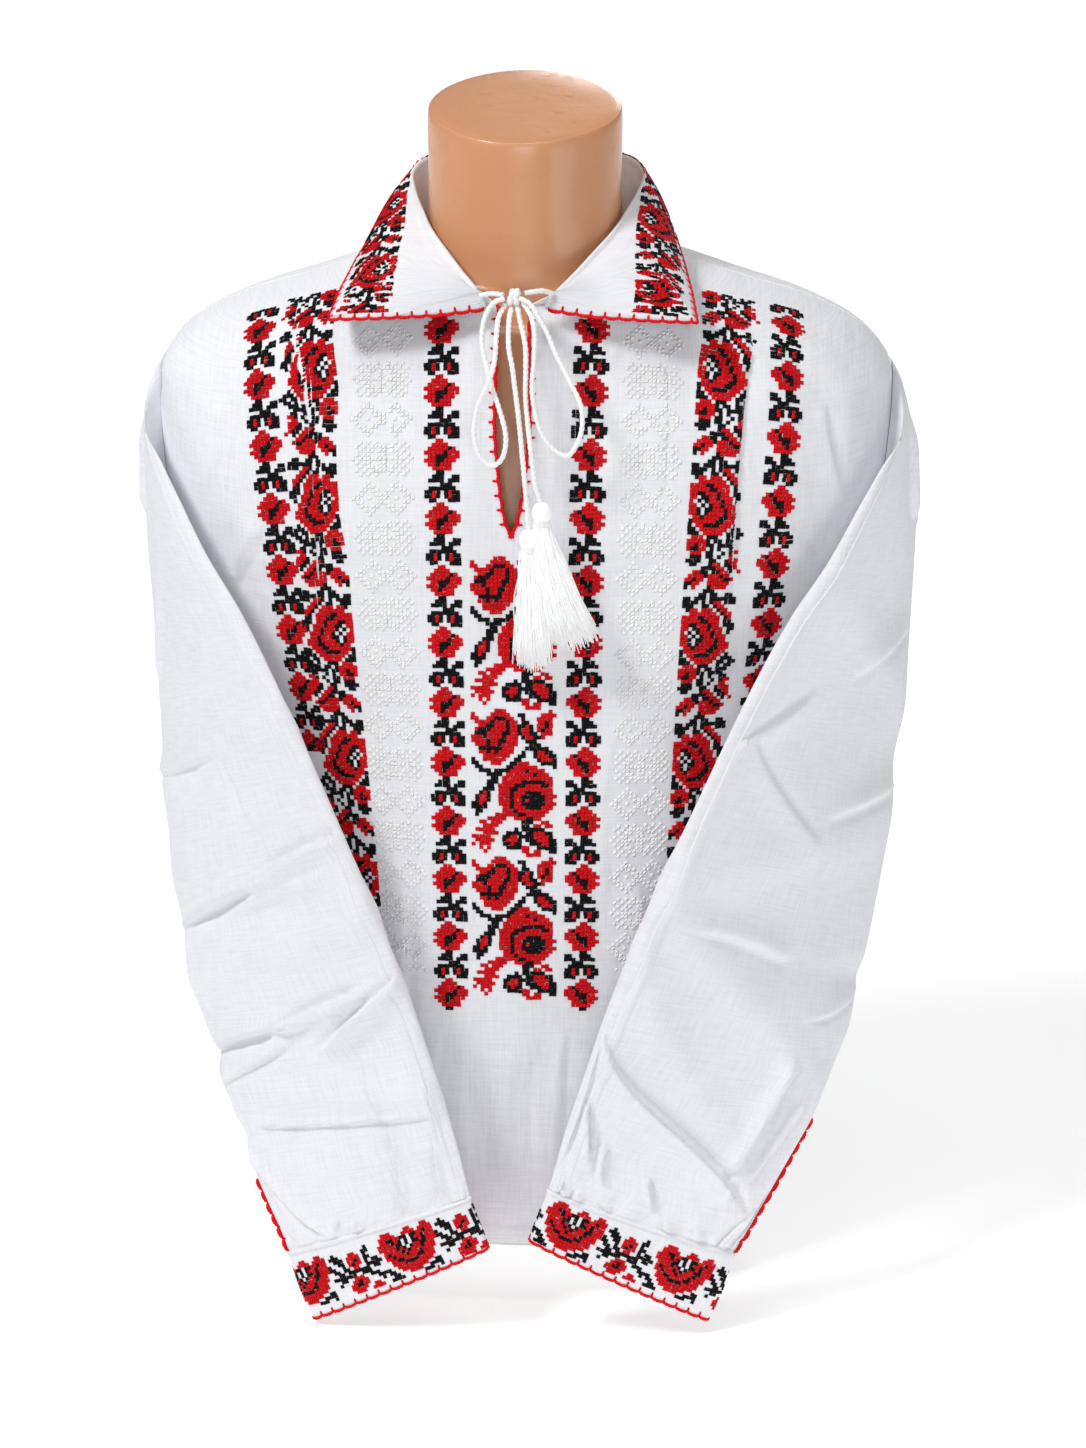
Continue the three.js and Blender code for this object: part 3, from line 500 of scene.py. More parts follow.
def tassel_threads(x, y, z, length, lean, half):
    """Points, faces and tones of one tassel; the tones of its head are painted shade in its
    grooves.
    """
    around = 60
    angle = np.linspace(0, 2 * np.pi, around, endpoint=False)
    ridges = 1 + 0.05 * np.cos(angle * 20)
    head = np.array([
        np.stack([x + r * ridges * np.cos(angle), y + 0.9 * r * ridges * np.sin(angle),
                  np.full(around, z + up)], -1)
        for up, r in TASSEL_HEAD[::-1]
    ])
    points, faces = [head.reshape(-1, 3)], tube_faces(len(head), around)
    # painted shade: the head's tone is darkest in the grooves between its ribs
    tones_and_groove_shade = [np.tile(0.5 + 0.5 * np.cos(angle * 20), len(head))]
    down = np.linspace(0, 1, STRAND_ROWS)
    opening = SKIRT_TOP + (half - SKIRT_TOP) * down ** 0.8
    radius = (0.6 * (1 - 0.35 * down))[:, None]
    count = len(points[0])
    corner = np.array([0, 2 * np.pi / 3, 4 * np.pi / 3])
    for _ in range(STRANDS):
        spread = math.sqrt(random_numbers.uniform(0.02, 1))
        turn = random_numbers.uniform(0, 2 * np.pi)
        reach = length * random_numbers.uniform(0.86, 1.0) * (1 - 0.1 * spread)
        curl, phase = random_numbers.normal(0, 1.3), random_numbers.uniform(0, 6)
        side, front = spread * math.cos(turn), spread * math.sin(turn)
        path = np.stack([
            x + side * opening + lean * reach * down ** 1.3 + curl * np.sin(down * 5 + phase),
            y + front * (3.8 + 2.4 * down) - 1.2 * down,
            z - SKIRT_DROP - reach * down + 1.5 * spread * down * abs(side) * lean * 6,
        ], -1)
        ring = path[:, None] + np.stack([
            radius * np.cos(corner), radius * np.sin(corner), np.zeros((STRAND_ROWS, STRAND_SIDES)),
        ], -1)
        points.append(ring.reshape(-1, 3))
        faces += tube_faces(STRAND_ROWS, STRAND_SIDES, offset=count)
        count += len(points[-1])
        tones_and_groove_shade.append(np.full(len(points[-1]), random_numbers.uniform(0.4, 1)))
    return np.concatenate(points), faces, np.concatenate(tones_and_groove_shade)


for node, sizes in TASSELS.items():
    points, faces, tones_and_groove_shade = tassel_threads(*sizes)
    tassel = make_piece(f"{node}_threads", points, faces, TASSEL_THREAD, tone_and_groove_shade=tones_and_groove_shade)
    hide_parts(node)
print("tassels of", STRANDS, "threads each")

# %% [markdown]
# ## The body of the shirt
# Front and back are two widths of cloth that hang from the shoulders in soft upright folds. The
# same section table as the solids' gives their form, and the fine folds that rigid solids leave
# out are added here: each has its own place, width and depth, so that no two are alike.

# %% The body's section tables
BODY = np.array([
    # side, front, back, half, mid, ahead, behind, square, arm
    (42, 47, 42, 170, 2, -125, 116, 2.3, 0),
    (122, 127, 122, 173, 2, -126, 117, 2.3, 0),
    (212, 217, 212, 178, 2, -127, 118, 2.3, 0),
    (302, 304, 302, 186, 2, -128, 120, 2.35, 0),
    (382, 382, 382, 196, 3, -129, 122, 2.4, 0),
    (444, 444, 444, 212, 4, -129, 123, 2.45, 0),
    (484, 479, 484, 228, 4, -129, 123, 2.5, 30),
    (524, 517, 524, 240, 4, -128, 122, 2.55, 42),
    (567, 554, 567, 247, 4, -127, 120, 2.6, 46),
    (606, 590, 606, 250, 4, -122, 117, 2.6, 38),
    (634, 620, 637, 250, 4, -116, 112, 2.5, 20),
    (654, 644, 664, 247, 5, -110, 105, 2.4, 0),
    (677, 662, 686, 228, 6, -105, 98, 2.3, 0),
    (695, 677, 703, 193, 8, -100, 91, 2.25, 0),
    (707, 688, 718, 152, 10, -96, 84, 2.2, 0),
    (719, 696, 732, 112, 12, -93, 77, 2.15, 0),
    (732, 702, 745, 79, 14, -90, 71, 2.1, 0),
])
SLIT = np.array([
    # height, half width of the neck opening
    (554, 0), (566, 4.6), (582, 7.6), (604, 10.2), (626, 12), (664, 11.5), (704, 10.5),
])
SLIT_X = -2.5
# places at which the armhole starts and ends, and the gap that a seam leaves between two pieces
UNDERARM = 5 / 16
SHOULDER = 11 / 16
SEAM = 0.3
# how fast a large fold fades at its ends, and how much deeper the back's creases are
FOLD_FADE = 0.12
BACK_DEPTH = 2.6

# turn of the middle, the places where the fold starts and ends, width as a turn, depth
LARGE_FOLDS = [
    (0.14, 0.3, 0.98, 0.016, 2.8), (0.098, 0.42, 0.86, 0.016, 2.4),
    (0.362, 0.3, 0.96, 0.016, 2.6), (0.405, 0.4, 0.88, 0.016, 2.4),
    (0.62, 0.05, 0.84, 0.02, 6), (0.695, 0.02, 0.74, 0.02, 5),
    (0.8, 0.02, 0.8, 0.02, 5.2), (0.88, 0.05, 0.84, 0.02, 6),
    (0.2, -0.2, 0.3, 0.02, 3), (0.31, -0.2, 0.28, 0.02, 3),
]
# start x and z, end x and z, width, depth (a ridge with a trough beside it; a trough if below 0)
FRONT_CREASES = [
    (-154, 700, -138, 470, 2.6, 2.6), (-96, 690, -88, 560, 2.6, 0.9),
    (-70, 690, -66, 600, 2.4, 0.8),
    (150, 700, 134, 480, 2.6, 2.4), (92, 690, 86, 540, 2.6, 0.9), (68, 690, 64, 590, 2.4, 0.9),
    (-30, 690, -28, 560, 2.2, 0.9), (-20, 694, -22, 600, 2.0, -0.8), (-38, 690, -37, 610, 1.8, 0.7),
    (22, 692, 26, 590, 2.2, 1.0), (32, 690, 34, 540, 2.2, 0.8), (40, 650, 38, 560, 2.0, -0.7),
    (-168, 560, -205, 500, 5, 2.2), (172, 560, 206, 505, 5, 2.2),
    (-196, 640, -214, 560, 4, 2.0), (198, 640, 216, 560, 4, 2.0),
    (-34, 205, -30, 60, 3.2, 1.5), (-18, 200, -22, 70, 2.8, -1.1), (2, 205, -2, 80, 3, 1.3),
    (16, 200, 18, 60, 2.8, -1.2), (34, 215, 31, 55, 3.4, 1.5), (50, 200, 56, 60, 3.4, 1.2),
    (-52, 210, -58, 50, 3.4, 1.2), (-74, 330, -82, 60, 5, 1.6), (78, 330, 84, 60, 5, 1.6),
    (-110, 320, -124, 60, 6, 2.4), (112, 320, 128, 60, 6, 2.4),
    (-66, 420, -64, 250, 2.6, 0.8), (66, 430, 68, 260, 2.6, 0.8),
    (-28, 190, 20, 182, 3, 0.7), (-16, 130, 44, 122, 4, 0.7), (-60, 150, -10, 158, 4, 0.6),
]
BACK_CREASES = [
    (-20, 690, -26, 380, 6, 2.2), (34, 680, 42, 420, 5, 2.0), (-60, 660, -70, 300, 5, 1.8),
    (84, 660, 96, 330, 6, 2.2), (-116, 650, -126, 380, 5, 2.2), (126, 640, 138, 300, 6, 2.0),
    (4, 420, -4, 80, 6, 1.8), (60, 360, 66, 70, 5, 1.8), (-90, 320, -98, 60, 6, 2.0),
    (-150, 600, -196, 520, 5, 2.2), (150, 610, 200, 525, 5, 2.2),
]


def crease_field(u, v, creases):
    """Height of the listed creases at cloth coordinates u and v."""
    total = np.zeros(np.broadcast(u, v).shape)
    for u0, v0, u1, v1, wide, deep in creases:
        run = math.hypot(u1 - u0, v1 - v0)
        along = ((u - u0) * (u1 - u0) + (v - v0) * (v1 - v0)) / run ** 2
        off = ((u - u0) * (v1 - v0) - (v - v0) * (u1 - u0)) / run
        off = off - 0.05 * run * np.sin(np.pi * np.clip(along, 0, 1)) * math.sin(u0 * 1.7 + v0)
        fade = smooth_step(along * 7) * smooth_step((1 - along) * 2.6)
        slope = np.where(off < 0, 0.6 * wide, 2.3 * wide)
        trough = np.exp(-((off + 1.3 * wide) / (0.7 * wide)) ** 2)
        total = total + deep * fade * (np.exp(-(off / slope) ** 2) - 0.45 * trough)
    return total


def body_surface(turn, place):
    """Points of the shirt's body: turn 0 is its left side, 0.25 the front, 0.75 the back."""
    turn, place = np.broadcast_arrays(np.asarray(turn, float), np.asarray(place, float))
    side, front, back, half, mid, ahead, behind, square, _ = np.moveaxis(
        smooth_read(BODY, place), -1, 0)
    angle = turn * 2 * np.pi
    across = signed_power(np.cos(angle), 2 / square)
    depth = np.abs(np.sin(angle)) ** (2 / square)
    faces_front = np.sin(angle) > 0
    reach = np.where(faces_front, ahead - mid, behind - mid)
    drop = np.where(faces_front, front - side, back - side)
    points = np.stack([-half * across, mid + reach * depth, side + drop * depth ** 1.5], -1)
    x, z = points[..., 0], points[..., 2]
    height = np.zeros(turn.shape)
    for middle, low, high, wide, deep in LARGE_FOLDS:
        fade = smooth_step((place - low) / FOLD_FADE) * smooth_step((high - place) / FOLD_FADE)
        height = height + deep * fade * np.exp(-((turn - np.floor(turn) - middle) / wide) ** 2)
    behind_creases = BACK_DEPTH * crease_field(x, z, BACK_CREASES)
    fine = np.where(faces_front, crease_field(x, z, FRONT_CREASES), behind_creases)
    drift = 0.5 * np.sin(x * 0.11 + 1.3 * np.sin(z * 0.021)) * np.sin(z * 0.017 + x * 0.02)
    free = smooth_step(depth * 3)
    outwards = unit(np.stack([x, points[..., 1], np.zeros_like(x)], -1))
    return points + outwards * (height + (fine + drift) * free)[..., None]


def edge_turn(place, extra, front):
    """The turn of a panel's side edge, which leaves the armhole open."""
    row = smooth_read(BODY, np.asarray(place, float))
    reach = np.abs((row[..., 5] if front else row[..., 6]) - row[..., 4])
    opened = np.maximum(row[..., 8], 0) + extra
    return np.arcsin(np.clip(opened / reach, 0, 1) ** (row[..., 7] / 2)) / (2 * np.pi)


def front_turn(x, row):
    """The turn at which the front lies at a distance from the middle, for rows of the table."""
    return np.arccos(signed_power(np.clip(-x / row[..., 3], -1, 1), row[..., 7] / 2)) / (2 * np.pi)


def slit_edge_x(row, side):
    """Where one edge of the neck opening lies; both lie in the middle below the opening."""
    return SLIT_X + side * np.interp(row[..., 1], SLIT[:, 0], SLIT[:, 1])


def slit_turn(place, side):
    """The turn of the neck opening's edge on one side."""
    row = smooth_read(BODY, np.asarray(place, float))
    return front_turn(slit_edge_x(row, side), row)


print("sections:", len(BODY))

# %% [markdown]
# A panel is a grid of points laid on this form. The neck slit is not cut out afterwards: the
# front's two halves share their middle line below the slit and part above it, as a maker's
# scissors would leave them.

# %% Lay the front and back panels
def even_places(low, high, column, step):
    """Places between two limits, spaced evenly in height."""
    fine = np.linspace(low, high, 400)
    heights = smooth_read(BODY, fine)[:, column]
    count = round((heights[-1] - heights[0]) / step)
    return np.interp(np.linspace(heights[0], heights[-1], count + 1), heights, fine)


def spread_turns(first, width, shares):
    """Rows of turns that start at first and run over a width, one row for each place."""
    return first[:, None] + width[:, None] * shares


def front_grid(side, columns, places):
    """Turns and places of one half of the front."""
    edge = edge_turn(places, SEAM / 2, True)
    slit = slit_turn(places, side)
    first, last = (edge, slit) if side < 0 else (slit, 0.5 - edge)
    turns = spread_turns(first, last - first, np.linspace(0, 1, columns + 1))
    return turns, np.repeat(places[:, None], columns + 1, axis=1)


def merged(points, faces, extra):
    """Joins points that lie together, so that two grids share their common line."""
    keys = np.round(points * 500).astype(np.int64)
    _, first, inverse = np.unique(keys, axis=0, return_index=True, return_inverse=True)
    faces = inverse.ravel()[faces]
    kept = [len(set(face)) == 4 for face in faces.tolist()]
    return points[first], faces[kept], extra[first]


front_places = np.concatenate([even_places(0, 0.5, 1, 3.2), even_places(0.5, 1, 1, 2.6)[1:]])
points, faces, weave = [], [], []
for side in (-1, 1):
    grid = body_surface(*front_grid(side, 110, front_places))
    lengths = grid_lengths(grid)
    lengths[..., 0] = grid[..., 0]
    faces.append(grid_faces(*grid.shape[:2]) + sum(len(part) for part in points))
    points.append(grid.reshape(-1, 3))
    weave.append(lengths.reshape(-1, 3))
points, faces, weave = merged(np.concatenate(points), np.concatenate(faces), np.concatenate(weave))
front_cloth = make_piece("front_panel_cloth", points, faces, WHITE_CLOTH, weave)
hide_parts("front_panel")

back_places = even_places(0, 1, 2, 4.6)
edge = edge_turn(back_places, SEAM / 2, False)
turns = spread_turns(0.5 + edge, 0.5 - 2 * edge, np.linspace(0, 1, 101))
back = body_surface(turns, back_places[:, None])
back_cloth = make_cloth("back_panel_cloth", back)
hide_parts("back_panel")
print("front", len(points), "points; back", back.shape[0] * back.shape[1])

# %% [markdown]
# ## Sleeves and cuffs
# Each sleeve is cut straight and full, so once it hangs it lies flat between a front and a back
# fold, with slack creases across it, and its lower end is gathered into the cuff. The creases are
# placed one by one again, on the outer face and on the hidden one.

# %% The sleeves' section tables
SLEEVE = np.array([
    # front fold x y z, back fold x y z, outer face's offset x y z, inner face's offset x y z
    (249, -42, 570, 249, 50, 570, 1.5, 0, 78, -37, 0, -126),
    (253, -54, 602, 256, 62, 598, 4, 0, 32, -32, 0, -172),
    (243, -76, 598, 259, 76, 584, 13, 0, 10, -24, 0, -166),
    (226, -95, 572, 263, 82, 548, 19, -4, 4, -16, 3, -150),
    (206, -112, 538, 265, 80, 504, 22, -8, 3, -9, 4, -122),
    (182, -128, 504, 266, 72, 454, 21, -12, 3, -7, 5, -84),
    (162, -140, 468, 265, 56, 404, 18, -14, 3, -8, 6, -46),
    (143, -149, 428, 261, 32, 354, 15, -14, 3, -9, 8, -20),
    (124, -156, 384, 256, 4, 306, 13, -14, 3, -9, 9, -8),
    (104, -160, 336, 247, -26, 260, 11, -14, 2, -8, 9, -4),
    (84, -164, 286, 236, -58, 218, 9, -14, 1, -7, 10, -2),
    (66, -167, 236, 222, -90, 180, 7, -13, 0, -5, 10, 0),
    (50, -169, 184, 204, -118, 142, 5, -12, 0, -3, 9, 0),
    (39, -171, 146, 183, -138, 102, 3, -10, 0, -2, 8, 0),
    (32, -172, 116, 164, -151, 68, 2, -7, 0, -1.5, 7, 0),
    (29, -172.5, 104, 156.5, -157, 52, 2, -6, 0, -1, 6, 0),
])
CUFF = np.array([
    (29, -173, 103, 157, -157.5, 51, 2, -8, 0, -2, 8, 0),
    (22.5, -174, 85, 149, -159, 27, 2, -8.5, 0, -2, 8.5, 0),
    (16.5, -175, 68, 140, -161, 4, 2, -8, 0, -2, 8, 0),
])
SLEEVE_WIDTH, SLEEVE_LENGTH = 190, 620
FOLD_BLUNTNESS = 0.85
GATHERS = {"waves": 9, "deep": 1.5, "start": 0.9}
PLACKET = {"left": 0.882, "right": 0.812, "half": 1.0}
HANG = {
    "left": {"side": -1, "lift": 0, "inwards": 0, "tuck": 7},
    "right": {"side": 1, "lift": 6.5, "inwards": 5, "tuck": -3},
}
# where a crease crosses the outer face, how far it shifts from front to back, width, depth
LARGE_CREASES = {
    "left": [
        (0.475, 0.05, 0.022, 4.2), (0.6, -0.06, 0.02, 3.6), (0.655, 0.03, 0.018, 4.4),
        (0.735, 0.07, 0.02, 3.4), (0.79, -0.05, 0.018, 3.8),
    ],
    "right": [
        (0.36, 0.16, 0.03, 3.2), (0.56, -0.12, 0.028, 3.4), (0.7, 0.22, 0.024, 4.6),
        (0.8, 0.3, 0.022, 4.2),
    ],
}
# start across and down, end across and down, width and depth; across runs from the back fold
# (0) to the front fold (190) and down from the shoulder (0) to the cuff (620)
OUTER_CREASES = {
    "left": [
        (4, 386, 112, 366, 4.0, 3.0), (186, 354, 96, 370, 2.4, 2.6), (157, 371, 60, 384, 2.2, 1.3),
        (2, 458, 112, 446, 3.8, 3.4), (146, 436, 66, 457, 2.4, 2.6), (188, 433, 92, 473, 2.8, 3.4),
        (14, 478, 98, 452, 3.0, 1.6), (29, 379, 8, 448, 3.0, 1.4), (30, 505, 188, 516, 1.6, 1.2),
        (127, 468, 126, 516, 1.8, 1.7), (126, 504, 108, 608, 1.8, 2.0),
        (173, 488, 156, 545, 1.8, 1.6),
        (156, 532, 144, 614, 1.8, 1.9), (20, 498, 34, 612, 2.4, 2.2), (12, 516, 65, 612, 2.6, 2.2),
        (6, 296, 119, 292, 3.0, 1.5), (109, 300, 111, 348, 4.0, 1.1), (40, 250, 90, 190, 5, 1.3),
        (110, 240, 160, 150, 5, 1.4), (70, 150, 96, 60, 6, 1.8), (30, 160, 46, 80, 5, 1.4),
        (70, 618, 72, 580, 1.8, 1.4), (88, 618, 84, 588, 1.6, 1.3), (172, 618, 176, 578, 1.8, 1.4),
    ],
    "right": [
        (188, 463, 20, 576, 3.2, 3.6), (60, 456, 68, 548, 3.0, 2.8), (33, 484, 50, 545, 2.4, 1.8),
        (182, 468, 176, 566, 3.2, 2.4), (169, 503, 144, 566, 2.2, 2.2),
        (149, 525, 143, 566, 1.8, 1.4),
        (138, 533, 128, 576, 1.8, 1.7), (106, 553, 95, 588, 1.8, 1.5), (56, 540, 53, 566, 1.6, 1.1),
        (80, 406, 146, 398, 3.2, 1.8), (6, 410, 70, 440, 3.0, 1.8), (20, 300, 96, 330, 4, 1.7),
        (160, 290, 80, 350, 4, 1.5), (40, 210, 110, 250, 4.5, 1.4), (172, 300, 120, 250, 4, 1.3),
        (70, 150, 96, 60, 6, 1.8), (30, 160, 46, 80, 5, 1.4), (162, 618, 158, 572, 2.0, 1.7),
        (146, 618, 146, 586, 2.0, 1.5), (120, 618, 124, 592, 1.6, 1.3),
        (82, 618, 84, 588, 1.8, 1.3),
        (62, 618, 64, 586, 1.8, 1.3), (40, 616, 20, 556, 2.4, 1.8), (22, 606, 10, 536, 2.2, 1.6),
    ],
}
CREASE_DEPTH = 2.5
# where a crease nicks the back fold: place along the sleeve, length and depth
FOLD_NICKS = {
    "left": [(0.614, 0.012, 3.4), (0.67, 0.03, -1.6), (0.738, 0.014, 4.8), (0.824, 0.012, 3.2)],
    "right": [(0.46, 0.025, 2.2), (0.66, 0.014, 3.0), (0.71, 0.02, -1.4)],
}
INNER_CREASES = [
    (20, 320, 130, 350, 4, 1.8), (50, 420, 160, 396, 4, 1.8), (30, 500, 110, 470, 3.6, 1.6),
    (90, 540, 166, 500, 3.4, 1.5), (60, 602, 64, 540, 2.6, 1.5), (110, 604, 112, 536, 2.6, 1.5),
]


def tube_points(row, turn):
    """A flat tube: turn 0 is the back fold, 0.25 the outer face, 0.5 the front fold."""
    angle = turn * 2 * np.pi
    front, back = row[..., 0:3], row[..., 3:6]
    rise = np.sin(angle)
    face = np.where((rise > 0)[..., None], row[..., 6:9], row[..., 9:12])
    fullness = np.abs(rise) ** FOLD_BLUNTNESS
    flat = (front + back) / 2 + (back - front) / 2 * np.cos(angle)[..., None]
    return flat + face * fullness[..., None]


def armhole_edge(turn):
    """The edge of the right armhole, read by the sleeve's own turn."""
    angle = turn * 2 * np.pi
    place = UNDERARM + (SHOULDER - UNDERARM) * (np.sin(angle) + 1) / 2
    front = np.cos(angle) < 0
    edge_front, edge_back = edge_turn(place, 0, True), edge_turn(place, 0, False)
    return body_surface(np.where(front, 0.5 - edge_front, 0.5 + edge_back), place)


def sleeve_surface(turn, place, name):
    """Points of one sleeve; the left one is the right one's mirror image with its own creases."""
    turn, place = np.broadcast_arrays(np.asarray(turn, float), np.asarray(place, float))
    turn = turn - np.floor(turn)
    hang = HANG[name]
    row = smooth_read(SLEEVE, place).copy()
    row[..., 3] -= hang["tuck"] * np.exp(-((place - 0.76) / 0.11) ** 2)
    for at, length, deep in FOLD_NICKS[name]:
        row[..., 3] -= deep * np.exp(-((place - at) / length) ** 2)
    points = tube_points(row, turn)
    points = points + np.array([-hang["inwards"], 0, hang["lift"]]) * (place ** 2)[..., None]
    joined = (np.clip(1 - place / 0.1, 0, 1) ** 2)[..., None]
    edge = armhole_edge(turn) + np.array([1.0, 0, 0]) * (SEAM + place * 60)[..., None]
    points = points * (1 - joined) + edge * joined
    face = np.sin(turn * 2 * np.pi)
    across = np.abs(turn - 0.5) * 2
    fullness = np.abs(face) ** 0.5
    depth = np.zeros(turn.shape)
    for at, slant, wide, deep in LARGE_CREASES[name]:
        depth = depth + deep * np.exp(-((place - at - slant * (across - 0.5)) / wide) ** 2)
    gathering = np.clip((place - GATHERS["start"]) / (1 - GATHERS["start"]), 0, 1)
    waves = 4 * np.pi * GATHERS["waves"]
    uneven = 0.35 * np.sin(turn * 41) + 0.2 * np.sin(turn * 97 + 1)
    depth = depth + GATHERS["deep"] * gathering * np.cos(turn * waves + uneven * gathering * 2)
    u = (1 - across) * SLEEVE_WIDTH
    v = place * SLEEVE_LENGTH
    outer = crease_field(u, v, OUTER_CREASES[name])
    inner = crease_field(u, v, INNER_CREASES)
    fine = CREASE_DEPTH * np.where(face > 0, outer, inner)
    drift = 0.7 * np.sin(u * 0.05 + 1.7 * np.sin(v * 0.013))
    drift = drift * np.sin(v * 0.026 + u * 0.011 + hang["side"])
    sewn_down = 0.12 + 0.88 * smooth_step((1 - place) / 0.022)
    depth = (depth + fine + drift * smooth_step(place * 6)) * fullness * sewn_down
    outwards = unit(row[..., 6:9] * np.array([1, 1, 0.2]))
    points = points + outwards * (np.sign(face) * depth)[..., None]
    return points * np.array([hang["side"], 1, 1])


def turn_beside_fold(row, distance):
    """The turn that lies a given distance from a flat tube's back fold."""
    depth = (np.linalg.norm(row[..., 6:9], axis=-1) + np.linalg.norm(row[..., 9:12], axis=-1)) / 2
    return (distance / depth) ** (1 / FOLD_BLUNTNESS) / (2 * np.pi)


def cuff_surface(turn, place, name):
    """Points of one cuff."""
    turn, place = np.broadcast_arrays(np.asarray(turn, float), np.asarray(place, float))
    hang = HANG[name]
    points = tube_points(smooth_read(CUFF, place), turn - np.floor(turn))
    points = points + np.array([-hang["inwards"], 0, hang["lift"]])
    return points * np.array([hang["side"], 1, 1])


def placket_turn(place, name):
    """Half of the wrist opening's width as a turn; 0 above the opening."""
    opened = np.clip((place - PLACKET[name]) / (1 - PLACKET[name]) * 3, 0, 1)
    half = PLACKET["half"] * np.maximum(opened, 1e-3)
    beside = turn_beside_fold(smooth_read(SLEEVE, place), half)
    return np.where(opened > 0, beside, 0)


# %% Make both sleeves and both cuffs
SLEEVES, CUFFS = {}, {}
for name in ("left", "right"):
    places = np.linspace(0, 1, 301) ** 0.85
    gap = placket_turn(places, name)
    columns = np.concatenate([np.linspace(0, 0.5, 105), np.linspace(0.5, 1, 43)[1:]])
    grid = sleeve_surface(spread_turns(gap, 1 - 2 * gap, columns), places[:, None], name)
    faces = grid_faces(*grid.shape[:2])
    points, faces, weave = merged(grid.reshape(-1, 3), faces, grid_lengths(grid).reshape(-1, 3))
    faces = faces[:, ::-1] if name == "left" else faces
    sleeve = make_piece(f"sleeve_{name}_cloth", points, faces, WHITE_CLOTH, weave)
    SLEEVES[name] = sleeve
    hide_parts(f"sleeve_{name}")
    places = np.linspace(0, 1, 13)
    gap = turn_beside_fold(smooth_read(CUFF, places), 0.9)
    turns = spread_turns(gap, 1 - 2 * gap, np.linspace(0, 1, 121))
    grid = cuff_surface(turns, places[:, None], name)
    cuff = make_cloth(f"cuff_{name}_cloth", grid, turned=name == "left")
    thicken(cuff)
    CUFFS[name] = cuff
    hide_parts(f"cuff_{name}")
    print(name, "sleeve", len(points), "points")

# %% [markdown]
# ## The collar
# The collar stands round the neck, folds over and lies on the shoulders with two square corners
# in front. It is one grid: up the stand, over the fold and down the leaf.

# %% The collar's table and sheet
COLLAR = np.array([
    # sewn share of the neckline, fold x y z, outer edge x y z
    (0, 26, -94, 713.5, 18, -101, 702), (0.09, 37, -80, 723, 50, -107, 698.5),
    (0.19, 50, -60, 735, 86, -111, 697), (0.31, 61, -38, 745, 117, -108, 695.5),
    (0.43, 69, -14, 755, 113, -70, 709), (0.55, 76, 10, 765, 107, -26, 723),
    (0.67, 79, 34, 774, 101, 18, 734), (0.79, 69, 57, 781, 88, 58, 744),
    (0.9, 39, 73, 785, 50, 88, 749), (1, 0, 78, 787, 0, 98, 751),
])
LEFT_LEAF = 1.045
COLLAR_FOLD = 2.2
STAND_TOP, LEAF_TOP = 0.3, 0.5


def collar_surface(along, across):
    """Points of the collar: along runs from its left end to its right, across from foot to edge."""
    along, across = np.broadcast_arrays(np.asarray(along, float), np.asarray(across, float))
    side = np.where(along < 0.5, -1.0, 1.0)
    place = 1 - np.abs(along - 0.5) * 2
    row, rim = smooth_read(COLLAR, place), straight_read(COLLAR, place)
    last = np.ones_like(place)
    start = slit_turn(last, side)
    sewn = start + (np.where(side < 0, -0.25, 0.75) - start) * row[..., 0]
    foot = body_surface(sewn, last) + np.array([0, 0, 2 * SEAM])
    flip = np.stack([side, last, last], -1)
    fold = row[..., 1:4] * flip
    spread = np.stack([np.where(side < 0, LEFT_LEAF, 1.0), last, last], -1)
    edge = rim[..., 4:7] * flip * spread
    out = edge - foot
    out[..., 2] = 0
    out = unit(out)
    centre = fold - np.array([0, 0, COLLAR_FOLD])
    up = np.array([0, 0, 1.0])

    def turned(angle):
        angle = angle[..., None]
        return centre - out * COLLAR_FOLD * np.cos(angle) + up * COLLAR_FOLD * np.sin(angle)

    rise = np.clip(across / STAND_TOP, 0, 1)[..., None]
    stand = foot * (1 - rise) + turned(np.zeros_like(across)) * rise
    over = turned(np.clip((across - STAND_TOP) / (LEAF_TOP - STAND_TOP), 0, 1) * np.pi)
    down = np.maximum((across - LEAF_TOP) / (1 - LEAF_TOP), 0)
    leaf = turned(np.full_like(across, np.pi)) * (1 - down)[..., None] + edge * down[..., None]
    leaf[..., 2] += 5 * np.sin(down * np.pi)
    ripple = np.sin(along * 2 * np.pi * 7 + 1.1) * 0.8 + np.sin(along * 2 * np.pi * 17) * 0.35
    leaf[..., 2] += ripple * np.sin(down * np.pi)
    above = np.where((across < LEAF_TOP)[..., None], over, leaf)
    return np.where((across < STAND_TOP)[..., None], stand, above)


across = np.concatenate([
    np.linspace(0, STAND_TOP, 9)[:-1], np.linspace(STAND_TOP, LEAF_TOP, 9)[:-1],
    np.linspace(LEAF_TOP, 1, 19),
])
along = np.linspace(0, 1, 217)
grid = collar_surface(along[None, :], across[:, None])
collar = make_cloth("collar_cloth", grid)
thicken(collar)
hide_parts("collar")
print("collar", grid.shape)

# %% [markdown]
# ## Walking on the cloth
# Embroidery follows the cloth's own threads, not the room's directions. So each motif is laid out
# by walking on the surface: along a centre line in steps of one stitch, then sideways from it.
# Each step solves for the surface's own coordinates, so that the stitches keep their size on
# every curve.

# %% Steps of a known length on a surface
def slopes(surface, u, v, step=1e-4):
    """How the point moves as each coordinate grows."""
    across = (surface(u + step, v) - surface(u - step, v)) / (2 * step)
    upwards = (surface(u, v + step) - surface(u, v - step)) / (2 * step)
    return across, upwards


